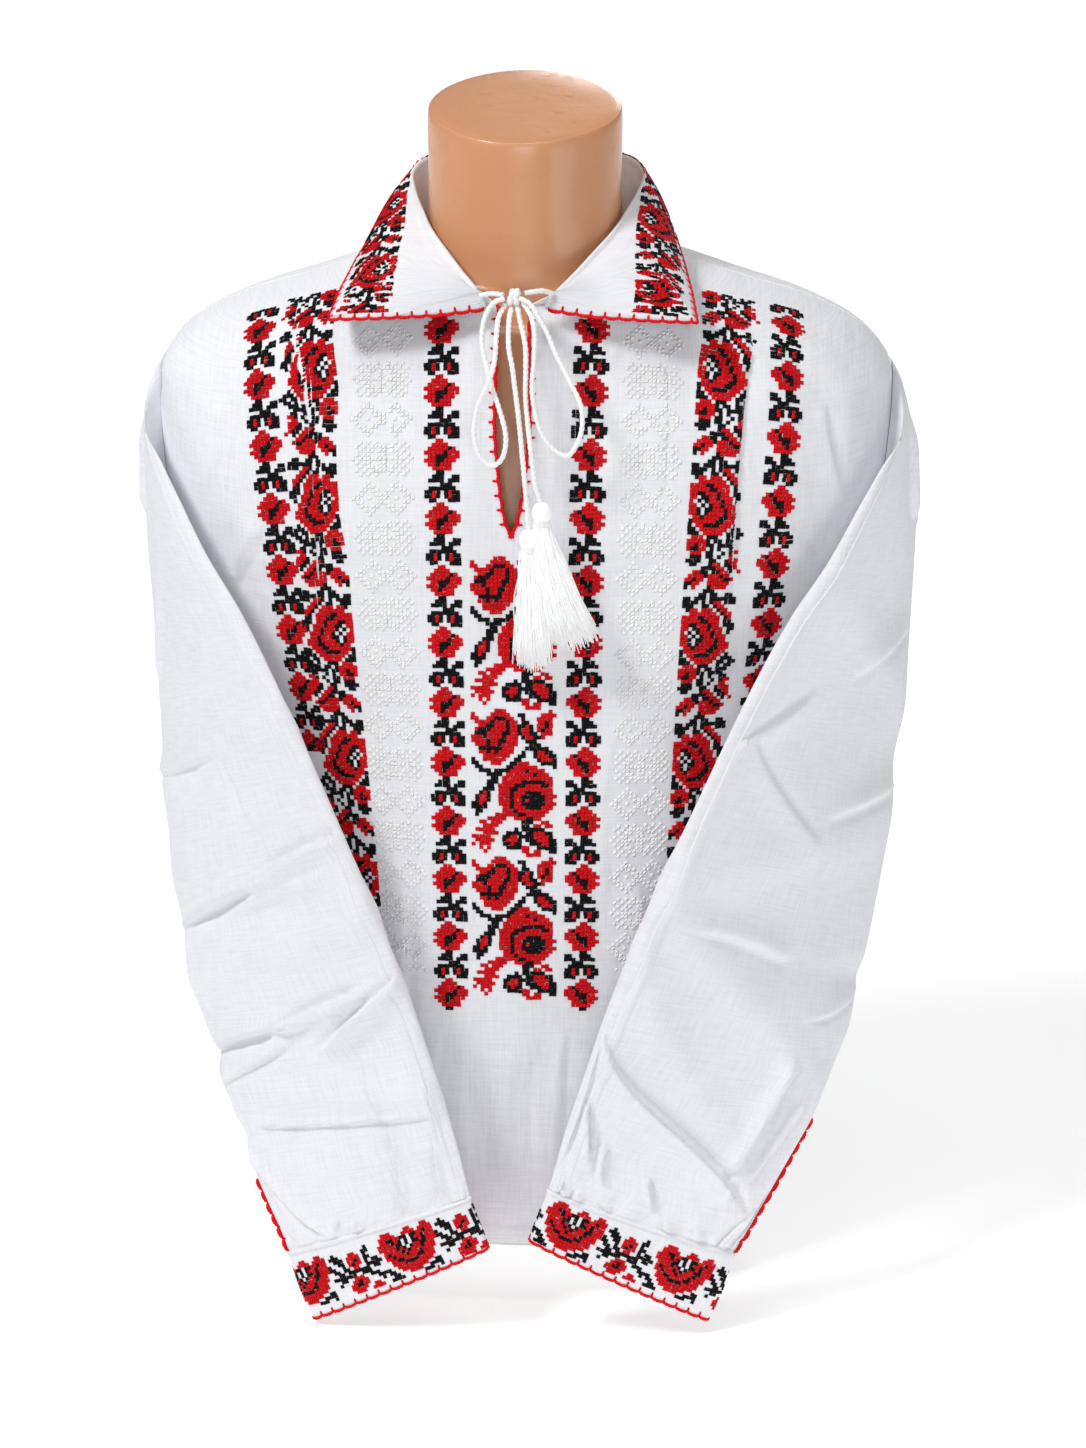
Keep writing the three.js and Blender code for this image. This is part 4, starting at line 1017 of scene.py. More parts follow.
def walk(surface, u, v, direction, distance, steps=1):
    """Moves over the cloth in a direction, for a distance in millimetres."""
    for _ in range(steps):
        across, upwards = slopes(surface, u, v)
        a, b, c = (across ** 2).sum(-1), (across * upwards).sum(-1), (upwards ** 2).sum(-1)
        p, q = (direction * across).sum(-1), (direction * upwards).sum(-1)
        room = np.maximum(a * c - b * b, 1e-9)
        du, dv = (c * p - b * q) / room, (a * q - b * p) / room
        moved = np.linalg.norm(across * du[..., None] + upwards * dv[..., None], axis=-1)
        share = distance / steps / np.maximum(moved, 1e-6)
        u, v = u + du * share, v + dv * share
    return u, v


def along_path(surface, u, v, spacing, start=0.0):
    """Evenly spaced places along a path that is given by its surface coordinates."""
    lengths = path_lengths(surface(u, v))
    spots = np.arange(start, lengths[-1], spacing)
    return np.interp(spots, lengths, u), np.interp(spots, lengths, v)


def side_of_path(surface, u, v):
    """Unit directions along a path, across it within the cloth, and off the cloth."""
    across, upwards = slopes(surface, u, v)
    normal = unit(np.cross(across, upwards))
    ahead = unit(np.gradient(surface(u, v), axis=0))
    return ahead, unit(np.cross(normal, ahead)), normal


def lay_cells(surface, u, v, columns, cell):
    """Centres of a band of cells: one row for each place on the path, columns across it."""
    _, side, _ = side_of_path(surface, u, v)
    middle = (columns - 1) / 2
    grid_u, grid_v = np.zeros((len(u), columns)), np.zeros((len(u), columns))
    for sign in (-1, 1):
        first = 0.5 if columns % 2 == 0 else (0.0 if sign < 0 else 1.0)
        at_u, at_v = (u, v) if first == 0 else walk(surface, u, v, side * sign, cell * first)
        offset = first * sign
        while abs(offset) <= middle + 1e-6:
            grid_u[:, round(middle + offset)], grid_v[:, round(middle + offset)] = at_u, at_v
            at_u, at_v = walk(surface, at_u, at_v, side * sign, cell)
            offset += sign
    return grid_u, grid_v


def front_surface(x, place):
    """The front of the body, by its distance from the middle instead of its turn."""
    return body_surface(front_turn(x, smooth_read(BODY, np.asarray(place, float))), place)


def front_places_at(x, z):
    """The places on the front at which the cloth lies at given heights."""
    place = np.interp(z, BODY[:, 1], np.linspace(0, 1, len(BODY)))
    for _ in range(8):
        height = front_surface(x, place)[..., 2]
        slope = (front_surface(x, place + 1e-3)[..., 2] - height) / 1e-3
        place = np.clip(place + (z - height) / np.maximum(slope, 50), 0, 1)
    return place


def on_side(surface, name):
    """The left or right sleeve or cuff as a surface of its turn and place alone."""
    return lambda turn, place: surface(turn, place, name)


BODY_CELL, COLLAR_CELL, CUFF_CELL = 2.6, 2.45, 2.5
print("a stitch is", BODY_CELL, "mm on the body")

# %% [markdown]
# ## One cross stitch
# A cross stitch is two short threads that cross over one square of the weave. Each thread is a
# slim spindle that dives into the cloth at both ends, and the second one lies over the first. All
# stitches of one colour in one area share a mesh, because ten thousand objects would be unwieldy.

# %% The stitch and the embroiderer
BAR = np.array([
    # along, across, height; a thread from corner to corner of its cell
    (-1.0, 0, -0.25), (-0.55, -0.42, 0.02), (-0.55, 0, 0.34), (-0.55, 0.42, 0.02), (-0.55, 0, -0.3),
    (0.55, -0.42, 0.02), (0.55, 0, 0.34), (0.55, 0.42, 0.02), (0.55, 0, -0.3), (1.0, 0, -0.25),
])
BAR_FACES = np.array([
    (0, 2, 1), (0, 3, 2), (0, 4, 3), (0, 1, 4), (1, 2, 6), (1, 6, 5), (2, 3, 7), (2, 7, 6),
    (3, 4, 8), (3, 8, 7), (4, 1, 5), (4, 5, 8), (9, 5, 6), (9, 6, 7), (9, 7, 8), (9, 8, 5),
])


class Embroidery:
    """Collects stitches by colour and makes one piece for each."""

    def __init__(self, name, outwards=1):
        self.name = name
        self.outwards = outwards
        self.bars = {}

    def bars_at(self, colour, centre, along, across, normal, lift, height):
        """Threads at centres; along and across are half their length and width as vectors."""
        shape = BAR[None]
        points = centre[:, None] + shape[..., 0:1] * along[:, None]
        points = points + shape[..., 1:2] * across[:, None]
        points = points + (shape[..., 2:3] * height + lift) * normal[:, None]
        self.bars.setdefault(colour, []).append(points)

    def cross_stitches(self, surface, grid_u, grid_v, chart, cell, first_row=0, mirror=False):
        """Works a chart over a band of cells, repeating it down the band."""
        points = surface(grid_u, grid_v)
        down = unit(np.gradient(points, axis=0))
        across = unit(np.gradient(points, axis=1))
        slope_u, slope_v = slopes(surface, grid_u, grid_v)
        normal = unit(np.cross(slope_u, slope_v)) * self.outwards
        rows = [chart[(first_row + index) % len(chart)] for index in range(len(points))]
        letters = np.array([list(row[::-1] if mirror else row) for row in rows])
        for letter, colour in (("R", "red"), ("K", "black"), ("W", "white")):
            chosen = letters == letter
            if not chosen.any():
                continue
            count = int(chosen.sum())
            wobble = random_numbers.normal(0, 0.05, (2, count, 1)) * cell
            centre = points[chosen] + down[chosen] * wobble[0] + across[chosen] * wobble[1]
            one = (down[chosen] + across[chosen]) * cell * 0.54
            other = (down[chosen] - across[chosen]) * cell * 0.54
            off = normal[chosen]
            thick = cell * (0.16 if colour == "white" else 0.36)
            self.bars_at(colour, centre, one, other, off, thick * 0.25, thick)
            self.bars_at(colour, centre, other, one, off, thick * 0.5, thick)

    def finish(self):
        """Makes one piece of each colour's stitches."""
        colours = {"red": RED_THREAD, "black": BLACK_THREAD, "white": WHITE_THREAD}
        for colour, parts in self.bars.items():
            bars = np.concatenate(parts)
            faces = BAR_FACES[None] + np.arange(len(bars))[:, None, None] * len(BAR)
            tone_and_groove_shade = np.repeat(random_numbers.uniform(0, 1, len(bars)), len(BAR))
            piece = make_piece(
                f"{self.name}_{colour}_stitches", bars, faces.reshape(-1, 3), colours[colour],
                tone_and_groove_shade=tone_and_groove_shade)
            print(self.name, colour, len(bars) * len(BAR_FACES), "triangles")


# %% [markdown]
# ## The charts
# Folk cross stitch is worked from a chart, one letter for each stitch: R for red, K for black and
# W for white thread. These charts are drawn for this shirt in the usual manner of roses, buds and
# leaves on a running stem; each repeats down its band.

# %% Charts for the narrow band, the rose band, the front piece and the white work
NARROW_BAND = [
    "...RR....", "..RRRR...", ".RRRRRKR.", "RRRRRKRRR", ".RRKKKRRR", "RRRKKRRR.", ".RRKRRR..",
    "..RRRRR..", "...KK....", "..KKK..KK", ".KKKK.KKK", "....KKK..", ".KKKKKKK.", "KKRK.KRKK",
    "KKRK.KRKK", ".KK...KKK",
]
ROSE_BAND = [
    "..RR..K.KK.KKK.", ".RRRK..KK..KKKK", ".RRKK.RRK...KK.", ".RKK.RRKKKK....", "R.K.RRKK.KKRR..",
    "...RRKRRRKRRRR.", "..RKKRRRR.RRKRR", "...RRRRRR..RRKK", "....RRRRK...R.K", ".......KKK.....",
    "..KK..KK.KK....", ".KKKKKKK.KKK.KK", ".KKK.RRK.K.KKKK", "....RRK.KK..KKK", "...RRK.RRR.RRK.",
    "..RRK.RRRRRRR..", "..RK.RRRRKKRRRR", "..KK.RRRKKRRRRR", ".KKK.RRKRRRKKRR", ".KK.RRRKRRKK.RR",
    "..K.RRKRRRK.K.R", "...RRRKRRK.K.RR", "...RRKRRRKK.KRR", "..RRRKRRRRK.KRR", "..RRRKKRRRRKRR.",
    "...RRRKKRRRRRRK", "..K.RRRKKKKRR.K", ".KKK.RRRRRRR.KK", "KK.KK.RRRRR.KKK", ".KK.K..KKK.RRR.",
    "..KKK.KK.KRRRRR", "...KKKK.KKRRKRR", "..KK..K.K.RRKKR", ".RRK.K..KK.RRR.",
]
CUFF_ROWS = [
    "..RRR....RR...RR.................", ".RRRRR..RRRR.RRRR..K.........K...",
    ".RRKKRRKK.KKRRKRR.KKK...RR..KK...", "RRRRKRK.K.KRRKRRR..KKK.RRRR.K....",
    "RRRRRKK.K.KKRKRRRK..KK.RRKR.KK...", ".RRRRKRK.KRRKKRRRKK..K.RKRR.K.KK.",
    ".RKRRRKRKRRRKRRR..KK.KK.RR..KKKKK", ".RRKRRRKRRRKRRRR...KK.KKKKKKK.KK.",
    "..RRKKRRRRKKRRR..KKKKKKK..KKK....", "..RRRRKKKKRRRRR....KK..RRR..KKK..",
    "K..RRRRRRRRRRR....K...RRKRR...KKK", "KK..RRRRRRRR..KK.....RRKKRR....K.",
    ".KK...RRRR..KKKK.....RRRRR..RR...", "KKKK......KKK..K......RRR..RRRR..",
]
CUFF_BAND = ["".join(column) for column in zip(*CUFF_ROWS)]
FRONT_PIECE = [
    "......RRR...........R.", "R....RRRRR..KK....RRRR", "RR..RRKKKRR..K...RRRR.",
    ".RRRRKRRRKRR.KK..RRKR.", "..RRKKRRRKRRKKRK.RRKR.", ".RKKKRRRRKRRKRRK.RKRR.",
    ".KKKRRRRKKRRKRRKK.RRR.", "RRRKRRRRKRRR.KRRKKR...", "RRRRKRRKKRRR..KKK.....",
    ".RRRKRRKRRRR...KKK....", "..KKKKKKRRR...KKKKKK..", "..RRKRKRRRR..K..KRRKK.",
    "...RRRRRRR..KK..KRRRKK", "K..RRRRRR..KK....KRRRK", "KK...RRR..KKRRR...KKKK",
    ".KK......KKRRRRRR....K", "..KKK.KKKKRRRRKRRRR...", "....KKKK.RRRRRRRKRRR..",
    ".....KK.RRRRRRRRRRRRR.", "....KKK.RRRRRKKKKKKRR.", "....KK.RRRRKKKRRRRKKR.",
    "...KKK.RRRKKRRRRRRRRR.", "..KRK..RRRKRRRKKKKRRR.", ".KRRK..RRRKRRKKKKKKRRR",
    ".KRRK..RRRKRRKRKKKKRR.", "KKRK...RRRKRRKKKKKKRRR", "KKKK....RRKRRRKKKKRRR.",
    ".KK.....RRRKRRRRRRRR..", ".K....RRRRRRKKRRRRR...", "....RRRRR..RRRKKRR....",
    "..RR.RRR.....KKK..RR..", "...RRRR......KK.RR.RR.", ".RRRRR.....K.KKKKKK...",
    "...RRRR..KKKK.KKRRRKK.", "RRRRR...KKRRKKKKRRRRK.", ".RRRRR..KRRRK.KKKRRRKK",
    "R.RRR...KKRKK..KKKRRKK", "..R.R....KKKKRR..KKKKK", "...R.........RR.RR..KK",
    "..............RRRR....",
]


def mirrored(quarter):
    """A motif from its upper left quarter and middle row, with an empty row below it."""
    half = [row + row[::-1] for row in quarter]
    return half + half[-2::-1] + ["." * len(half[0])]


WHITE_WORK = mirrored(["....W...", "...WWW..", "..WW.WW.", ".WW...WW", "WW..W..W"])
WHITE_WORK += mirrored(["..W.W.W.", ".W.W.WWW", "..W.WW.W", ".W.WW..W", "W.WWWWWW"])
for chart in (NARROW_BAND, ROSE_BAND, CUFF_BAND, FRONT_PIECE, WHITE_WORK):
    assert len({len(row) for row in chart}) == 1
    print("chart of", len(chart[0]), "by", len(chart), "stitches")

# %% Work the bands on the front
# name, chart, the centre line's points (x, z) from the top down, mirrored, first row, repeats
FRONT_BANDS = [
    ("outer_band_left", NARROW_BAND, [(-173, 690), (-160, 570), (-139, 398)], False, 12, None),
    ("rose_band_left", ROSE_BAND, [(-141, 700), (-130, 530), (-110, 290)], False, 29, None),
    ("inner_band_left", NARROW_BAND, [(-50, 696), (-46, 470), (-44, 221)], False, 0, None),
    ("inner_band_right", NARROW_BAND, [(49, 697), (46, 470), (44, 224)], True, 0, None),
    ("rose_band_right", ROSE_BAND, [(139, 701), (130, 530), (117, 290)], True, 29, None),
    ("outer_band_right", NARROW_BAND, [(176, 693), (170, 570), (156, 398)], True, 12, None),
    ("front_piece", FRONT_PIECE, [(-1, 543), (-1, 380), (-1, 200)], False, 0, 3),
    ("white_work_left", WHITE_WORK, [(-89, 688), (-84, 480), (-76, 248)], False, 0, None),
    ("white_work_right", WHITE_WORK, [(89, 688), (86, 480), (80, 250)], True, 0, None),
]


def front_path(route):
    """The surface coordinates of a centre line on the front."""
    share = np.linspace(0, 1, 240)
    line = smooth_read(np.array(route, float), share)
    return line[:, 0], front_places_at(line[:, 0], line[:, 1])


for name, chart, route, mirror, first_row, repeats in FRONT_BANDS:
    work = Embroidery(name)
    u, v = front_path(route)
    u, v = along_path(front_surface, u, v, BODY_CELL, BODY_CELL / 2)
    if repeats:
        u, v = u[: repeats * len(chart)], v[: repeats * len(chart)]
    grid_u, grid_v = lay_cells(front_surface, u, v, len(chart[0]), BODY_CELL)
    work.cross_stitches(front_surface, grid_u, grid_v, chart, BODY_CELL, first_row, mirror)
    work.finish()

# %% [markdown]
# ## Collar and cuffs
# The rose band also runs round the collar's leaf, beside its outer edge, and along each cuff. On
# the collar it starts at a front corner and meets its mirror image at the centre back.

# %% Work the collar and the cuffs
COLLAR_MARGIN = 4
band_middle = COLLAR_CELL * len(ROSE_BAND[0]) / 2 + COLLAR_MARGIN
for name, corner, mirror, first_row in (("left", 1 / 6, True, 28), ("right", 5 / 6, False, 2)):
    work = Embroidery(f"collar_band_{name}")
    edge_u = np.linspace(corner, 0.5, 160)
    edge_v = np.full(160, 0.999)
    _, side, _ = side_of_path(collar_surface, edge_u, edge_v)
    inwards = -side if name == "left" else side
    u, v = walk(collar_surface, edge_u, edge_v, inwards, band_middle, 12)
    u, v = along_path(collar_surface, u, v, COLLAR_CELL, COLLAR_CELL)
    grid_u, grid_v = lay_cells(collar_surface, u, v, len(ROSE_BAND[0]), COLLAR_CELL)
    work.cross_stitches(
        collar_surface, grid_u, grid_v, ROSE_BAND[::-1], COLLAR_CELL, first_row, mirror)
    work.finish()

for name, chart, first_row in (("left", CUFF_BAND, 5), ("right", CUFF_BAND[::-1], 10)):
    work = Embroidery(f"cuff_band_{name}", outwards=HANG[name]["side"])
    cuff = on_side(cuff_surface, name)
    u, v = along_path(cuff, np.linspace(0.012, 0.988, 300), np.full(300, 0.49), CUFF_CELL)
    grid_u, grid_v = lay_cells(cuff, u, v, len(CUFF_ROWS), CUFF_CELL)
    work.cross_stitches(cuff, grid_u, grid_v, chart, CUFF_CELL, first_row)
    work.finish()

# %% [markdown]
# ## The scalloped edges
# Every free edge of the collar, neck slit, cuffs and wrist openings is bound in red buttonhole
# stitch: small arcs that bulge outwards, with a short spike into the cloth where two arcs meet.

# %% Bind the edges
SCALLOP = {"pitch": 9.4, "bulge": 1.1, "wide": 1.45, "thick": 1.1, "steps": 9, "sides": 8}


def bound_edge(work, points, away, off, lift=0.0, bulge=SCALLOP["bulge"]):
    """Adds one scalloped edge to a list of tubes, and its spikes to the embroidery."""
    lengths = path_lengths(points)
    arcs = max(1, round(lengths[-1] / SCALLOP["pitch"]))
    spots = np.linspace(0, lengths[-1], arcs * SCALLOP["steps"] + 1)
    points, away, off = (read_spots(vectors, lengths, spots) for vectors in (points, away, off))
    away, off = unit(away), unit(off)
    arc = np.abs(np.sin(np.pi * spots / lengths[-1] * arcs)) ** 0.6
    middle = points + away * (bulge * arc - 0.3)[:, None] + off * lift
    angle = np.linspace(0, 2 * np.pi, SCALLOP["sides"], endpoint=False)[None, :, None]
    swell = 0.85 + 0.15 * np.sin(np.arange(len(spots)) * 2.7)[:, None, None]
    sideways = away[:, None] * SCALLOP["wide"] * np.cos(angle)
    rings = middle[:, None] + swell * (sideways + off[:, None] * SCALLOP["thick"] * np.sin(angle))
    joint = slice(SCALLOP["steps"], -1, SCALLOP["steps"])
    width = np.cross(away[joint], off[joint])
    centre = middle[joint] - away[joint] * 1.6 + off[joint] * 0.3
    work.bars_at("red", centre, away[joint] * 2.1, width * 1.9, off[joint], 0.1, 1.0)
    return rings


def make_edge(name, tubes):
    """One piece from several scalloped tubes."""
    points, faces = joined_tubes(tubes)
    tones_and_groove_shade = random_numbers.uniform(0.3, 1, len(points))
    make_piece(name, points, faces, RED_THREAD, tone_and_groove_shade=tones_and_groove_shade)
    print(name, len(points), "points")


work = Embroidery("edge_spikes")
u = np.linspace(0.004, 0.996, 900)
across, down = slopes(collar_surface, u, np.full(900, 0.995))
off = unit(np.cross(across, down))
edge_points = collar_surface(u, np.full(900, 1.0))
away = unit(down - across * ((down * across).sum(-1) / (across ** 2).sum(-1))[:, None])
make_edge("collar_edge", [bound_edge(work, edge_points, away, off, -0.2)])

tubes = []
places = np.linspace(0.502, 0.995, 200)
for side in (-1, 1):
    x = slit_edge_x(smooth_read(BODY, places), side)
    points = front_surface(x, places)
    _, _, off = side_of_path(front_surface, x, places)
    away = np.tile([-float(side), 0, 0], (200, 1))
    tubes.append(bound_edge(work, points, away, off, 0.2, 1.0))
make_edge("slit_edge", tubes)

for name in ("left", "right"):
    facing = HANG[name]["side"]
    cuff, sleeve = on_side(cuff_surface, name), on_side(sleeve_surface, name)
    turns = np.linspace(0.01, 0.99, 400)
    last = np.ones(400)
    across, down = slopes(cuff, turns, last * 0.99)
    off = unit(np.cross(across, down)) * facing
    tubes = [bound_edge(work, cuff(turns, last), unit(down), off, -0.1)]
    places = np.linspace(PLACKET[name] - 0.01, 0.995, 60)
    for side in (1, -1):
        turns = side * np.maximum(placket_turn(places, name), 0.004)
        across, down = slopes(sleeve, turns, places)
        off = unit(np.cross(across, down)) * facing
        away = unit(sleeve(np.zeros(60), places) - sleeve(np.full(60, 0.5), places))
        tubes.append(bound_edge(work, sleeve(turns, places), away, off, 0.5 * side, 1.8))
    make_edge(f"cuff_edge_{name}", tubes)
work.finish()

# %% [markdown]
# ## Seams and hems
# Home-sewn shirts have felled seams: the two edges are folded under and sewn flat, which leaves a
# narrow raised band. Here they run down each sleeve beside its front fold, over the shoulders,
# down the sides and along the hem, and a narrow band covers the gathers at each cuff; the armholes
# get no seam.

# %% Fell the seams
SEAM_ACROSS = [-0.5, -0.44, -0.3, 0, 0.3, 0.44, 0.5]
SEAM_HEIGHT = [-0.3, 0.75, 1, 0.92, 1, 0.75, -0.3]
# the sleeve's seam: distance from the front fold, width, height
SLEEVE_SEAM = (8.5, 6, 0.8)
# the band over the gathers: which surface, place on it, height off it, share of the ruffle
CUFF_SEAM = [
    ("sleeve", 0.9945, -0.3, 0), ("sleeve", 0.996, 0.4, 1), ("sleeve", 0.999, 0.8, 1),
    ("cuff", 0.012, 0.8, 0), ("cuff", 0.028, 0.6, 0), ("cuff", 0.034, -0.3, 0),
]


def felled_seam(name, surface, u, v, wide, high):
    """A raised band of cloth along a path."""
    _, side, normal = side_of_path(surface, u, v)
    columns = []
    for share, up in zip(SEAM_ACROSS, SEAM_HEIGHT):
        move = share * wide
        steps = max(1, round(abs(move) / 4))
        at_u, at_v = walk(surface, u, v, side * np.sign(move), abs(move), steps) if move else (u, v)
        columns.append(surface(at_u, at_v) + normal * (up * high))
    make_cloth(name, np.stack(columns, 1), turned=True)


def seam_beside_fold(name, surface, places, inset, wide, high, facing):
    """A raised band on the outer face, a set distance in from the front fold."""
    row = smooth_read(SLEEVE, places)
    width = np.linalg.norm(row[:, 3:6] - row[:, 0:3], axis=1)
    columns = []
    for share, up in zip(SEAM_ACROSS, SEAM_HEIGHT):
        turns = np.arccos(np.clip(2 * (inset + share * wide) / width - 1, -1, 1)) / (2 * np.pi)
        across, down = slopes(surface, turns, places)
        off = unit(np.cross(across, down)) * facing
        columns.append(surface(turns, places) + off * up * high)
    grid = np.stack(columns, 1)
    faces = grid_faces(*grid.shape[:2])
    quad = grid.reshape(-1, 3)[faces[len(faces) // 2]]
    looks_in = np.dot(np.cross(quad[1] - quad[0], quad[2] - quad[1]), off[len(off) // 2]) < 0
    make_cloth(name, grid, turned=looks_in)


for name in ("left", "right"):
    facing = HANG[name]["side"]
    surfaces = {
        "sleeve": on_side(sleeve_surface, name), "cuff": on_side(cuff_surface, name),
    }
    sleeve, cuff = surfaces["sleeve"], surfaces["cuff"]
    places = np.linspace(0.11, 0.99, 260)
    seam_beside_fold(f"sleeve_seam_{name}", sleeve, places, *SLEEVE_SEAM, facing)
    turns = np.linspace(0.012, 0.988, 300)
    across, down = slopes(cuff, turns, np.full(300, 0.03))
    off = unit(np.cross(across, down)) * facing
    ruffle = (0.25 * np.sin(turns * 190) + 0.15 * np.sin(turns * 71))[:, None]
    grid = np.stack([
        surfaces[part](turns, np.full(300, place)) + off * (high + ruffled * ruffle)
        for part, place, high, ruffled in CUFF_SEAM
    ])
    make_cloth(f"cuff_seam_{name}", grid, turned=name == "left")

low_places = np.linspace(0.004, UNDERARM - 0.02, 80)
high_places = np.linspace(SHOULDER + 0.004, 0.985, 90)
for name, turn in (("left", 0.0), ("right", 0.5)):
    felled_seam(f"side_seam_{name}", body_surface, np.full(80, turn), low_places, 7, 0.5)
    felled_seam(f"shoulder_seam_{name}", body_surface, np.full(90, turn), high_places, 7, 0.5)
for name, low, high in (("front", 0.012, 0.488), ("back", 0.512, 0.988)):
    turns = np.linspace(low, high, 260)
    felled_seam(f"hem_{name}", body_surface, turns, np.full(260, 0.0075), 15, 0.45)

# %% [markdown]
# ## The dress form
# The form is a blow-moulded plastic torso: smooth, glossy, a little scuffed on the neck's flat
# top and with a softly rounded rim. Its solid has the right shape in few faces, so the same
# sections are read again, closer together.

# %% The form's sections and skin
NECK_HALF = 65.0
# the two flattened sides of the neck, in degrees, and the last row of the straight foot
NECK_PLANES = (222, 310)
LAST_STRAIGHT_ROW = 4.5
FORM = np.array([
    # height, half, mid, ahead, behind, square, tilt
    (0, 108, 29, -34, 92, 2.2, 0), (38, 108, 29, -34, 92, 2.2, 0), (44, 150, 4, -100, 96, 2.2, 0),
    (54, 156, 4, -106, 101, 2.2, 0), (142, 158, 4, -109, 103, 2.2, 0),
    (242, 154, 4, -106, 100, 2.2, 0),
    (332, 164, 4, -108, 104, 2.25, 0), (422, 180, 4, -112, 109, 2.3, 0),
    (492, 192, 4, -112, 110, 2.35, 0), (552, 202, 4, -109, 108, 2.4, 0),
    (602, 208, 4, -101, 104, 2.35, 0), (646, 209, 5, -90, 97, 2.25, 0),
    (680, 200, 6, -80, 88, 2.15, 2),
    (692.5, 180, 8, -73, 80, 2.1, 6), (706.4, 144, 10, -70, 73, 2.05, 10),
    (718, 106, 8, -69, 66, 2, 10.5),
    (726, 75, 4, -69, 61, 2, 14), (742, NECK_HALF + 1, -2, -68, 59, 2, 10),
    (782, NECK_HALF, -4, -68, 59, 2, 8), (817, NECK_HALF, -4, -68, 60, 2, 16),
    (822, NECK_HALF - 2.4, -4, -65, 57, 2, 17), (823.5, NECK_HALF - 8, -4, -59, 51, 2, 16),
])


def form_rings(first, last, steps):
    """Rings of the form between two rows of its table; straight where the solid is straight."""
    places = np.linspace(first, last, steps + 1) / (len(FORM) - 1)
    rows = straight_read(FORM, places)[:, None, :]
    soft = smooth_read(FORM, places)[:, None, :]
    rows = np.where(places[:, None, None] > LAST_STRAIGHT_ROW / (len(FORM) - 1), soft, rows)
    angle = np.linspace(0, 2 * np.pi, 96, endpoint=False)[None, :]
    square = rows[..., 5]
    across = signed_power(np.cos(angle), 2 / square)
    depth = signed_power(np.sin(angle), 2 / square)
    reach = np.where(depth < 0, rows[..., 2] - rows[..., 3], rows[..., 4] - rows[..., 2])
    on_neck = smooth_step((rows[..., 0] - 738) / 30)
    planes = sum(np.exp(-((np.degrees(angle) - middle) / 20) ** 2) for middle in NECK_PLANES)
    hollow = 1 - 0.045 * planes * on_neck
    return np.stack([
        rows[..., 1] * across * hollow, rows[..., 2] + reach * depth * hollow,
        rows[..., 0] + rows[..., 6] * depth,
    ], -1)


plastic = Finish("form_plastic", Coat_Weight=0.35, Coat_Roughness=0.22)
place = plastic.object_place()
cloudy = plastic.noise(place, 9.0, 4.0)
scuffs = plastic.between(plastic.noise(place, 85.0, 6.0), 0.57, 0.7)
height = plastic.coordinate(place, 2)
on_top = plastic.between(height, 0.795, 0.835)
wear = scuffs * (0.1 + on_top * 0.28)
skin = plastic.mix(cloudy * 0.7, (0.71, 0.34, 0.17, 1), (0.60, 0.265, 0.125, 1))
above_foot = plastic.between(height, 0.049, 0.053)
moulded = plastic.mix(wear, skin, (0.50, 0.25, 0.13, 1))
plastic.set("Base Color", plastic.mix(above_foot, (0.8, 0.8, 0.8, 1), moulded))
plastic.set("Roughness", 0.30 + scuffs * 0.25 + cloudy * 0.08)
plastic.set("Normal", plastic.bump(plastic.noise(place, 24.0, 4.0) + wear * 0.3, 0.0012))

# first row, last row, steps between them
FORM_PARTS = [(0, 1, 1), (1.02, 4, 12), (4.2, 20, 80), (20.2, 21, 4)]
grid = np.concatenate([form_rings(*part) for part in FORM_PARTS])
grid = np.concatenate([grid, (grid[-1] * 0.55 + grid[-1].mean(axis=0) * 0.45)[None]])
form = make_piece("dress_form_skin", *joined_tubes([grid]), plastic.material)
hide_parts("dress_form")
print("form", len(grid), "rings")

# %% [markdown]
# ## What is cut from the cloth
# Each piece is listed with the size of the flat cloth that it was cut from, and the area of its
# finished sheet is printed. The widths and lengths are measured along the threads of the finished
# sheets; the sleeves were wider before gathering.


FRONT_WORK = (
    "outer_band", "rose_band", "inner_band", "front_piece", "white_work", "slit_edge", "hem_front")
SHEETS = [
    # piece, flat width and length, flat area, held, rests on, how the sewn pieces' names start
    (front_cloth, (0.66, 0.7), 0.40, "draped", ["dress_form"], FRONT_WORK),
    (back_cloth, (0.66, 0.72), 0.42, "draped", ["dress_form"], ("hem_back",)),
    (SLEEVES["left"], (0.42, 0.6), 0.22, "gathered", ["front_panel"], ("sleeve_seam_left",)),
    (SLEEVES["right"], (0.42, 0.6), 0.22, "gathered", ["front_panel"], ("sleeve_seam_right",)),
    (CUFFS["left"], (0.29, 0.04), None, "folded", ["sleeve_left"],
     ("cuff_band_left", "cuff_edge_left")),
    (CUFFS["right"], (0.29, 0.04), None, "folded", ["sleeve_right"],
     ("cuff_band_right", "cuff_edge_right")),
    (collar, (0.46, 0.12), None, "folded", ["front_panel", "back_panel"],
     ("collar_band", "collar_edge")),
]
for piece, flat, area, held, rests_on, sewn in SHEETS:
    area_made = sum(face.area for face in piece.data.polygons)
    print(piece.name, "sheet of", round(area_made, 3), "square metres")
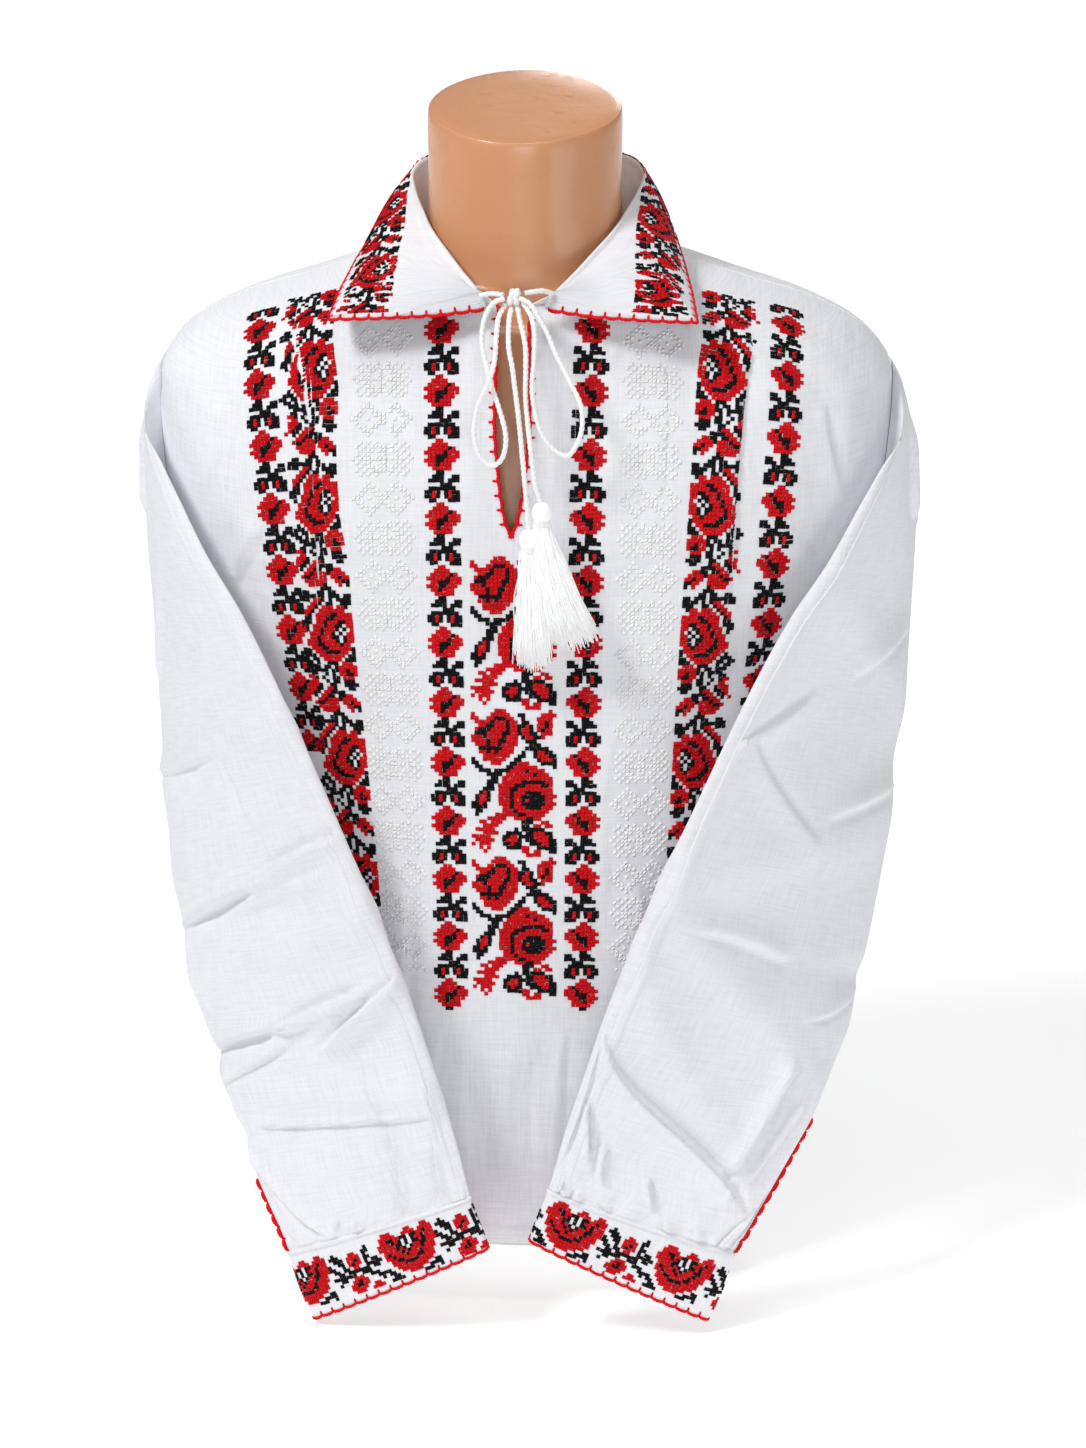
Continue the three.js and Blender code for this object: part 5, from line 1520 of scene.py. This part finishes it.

# %% [markdown]
# ## The floor and the light
# A white shirt needs soft light from the front to stay white, and a weaker light from one side so
# that its folds still draw grey lines. The floor is one wide pale plane that glows with painted
# light though it is no lamp: dim in front of the form and brightest behind it.

# %% Floor and lamps
paper = Finish(
    "glowing_pale_floor", Roughness=0.95, Base_Color=(0.8, 0.8, 0.8, 1), Emission_Strength=0.92)
depth = paper.coordinate(paper.object_place(), 1)
# painted light: the floor's glow is nearly dark far in front, half bright under the form and white
# far behind
near_floor_glow = paper.mix(paper.between(depth, -1.0, -0.36), (0.06, 0.06, 0.06, 1), (0.54, 0.54, 0.54, 1))
paper.set("Emission Color", paper.mix(paper.between(depth, 0.4, 2.2), near_floor_glow, (1, 1, 1, 1)))
FLOOR_ROWS = (-14.0, -2.0, 2.0, 30.0)
FLOOR_SIDES = (-14.0, 14.0)
corners = [(side, y, 0.0) for y in FLOOR_ROWS for side in FLOOR_SIDES]
mesh = bpy.data.meshes.new("floor")
mesh.from_pydata(corners, [], grid_faces(len(FLOOR_ROWS), len(FLOOR_SIDES)).tolist())
mesh.materials.append(paper.material)
add_object("floor", mesh)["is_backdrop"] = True


# name, place, aim, width and height, watts
LAMPS = [
    ("key", (-1.5, -1.2, 2.6), (0, 0, 0.5), (0.6, 0.6), 47),
    ("front", (0.2, -3.0, 1.1), (0, 0, 0.35), (1.4, 1.0), 15),
    ("fill", (1.5, -1.0, 0.5), (0.26, -0.1, 0.45), (1.0, 0.8), 5),
    ("top", (0.2, -0.4, 2.5), (0, 0, 0.6), (0.8, 0.6), 8),
    ("back", (0.5, 2.6, 1.8), (0, 0, 0.5), (1.2, 0.8), 20),
]
for name, place, aim, size, watts in LAMPS:
    light = bpy.data.lights.new(name, "AREA")
    light.shape = "RECTANGLE"
    light.size, light.size_y = size
    light.energy = watts
    lamp = add_object(name, light)
    lamp.location = place
    direction = Vector(aim) - Vector(place)
    lamp.rotation_euler = direction.to_track_quat("-Z", "Y").to_euler()
world = bpy.data.worlds.new("studio")
world.use_nodes = True
background = world.node_tree.nodes["Background"]
background.inputs["Color"].default_value = (1, 1, 1, 1)
background.inputs["Strength"].default_value = 0.16
bpy.context.scene.world = world
bpy.context.scene.view_settings.view_transform = "Standard"
print("lamps:", len(LAMPS))

# %% Measure and finish
def triangles(piece):
    """The piece's triangles; a wall doubles a sheet's."""
    flat = sum(len(face.vertices) - 2 for face in piece.data.polygons)
    return flat * (2 if piece.modifiers else 1)


counts = [
    triangles(piece) for piece in bpy.data.objects
    if piece.type == "MESH" and not piece.hide_render
]
print("triangles:", sum(counts), "most in one piece:", max(counts))
low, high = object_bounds()
print("size", [round(value, 3) for value in (high - low)])
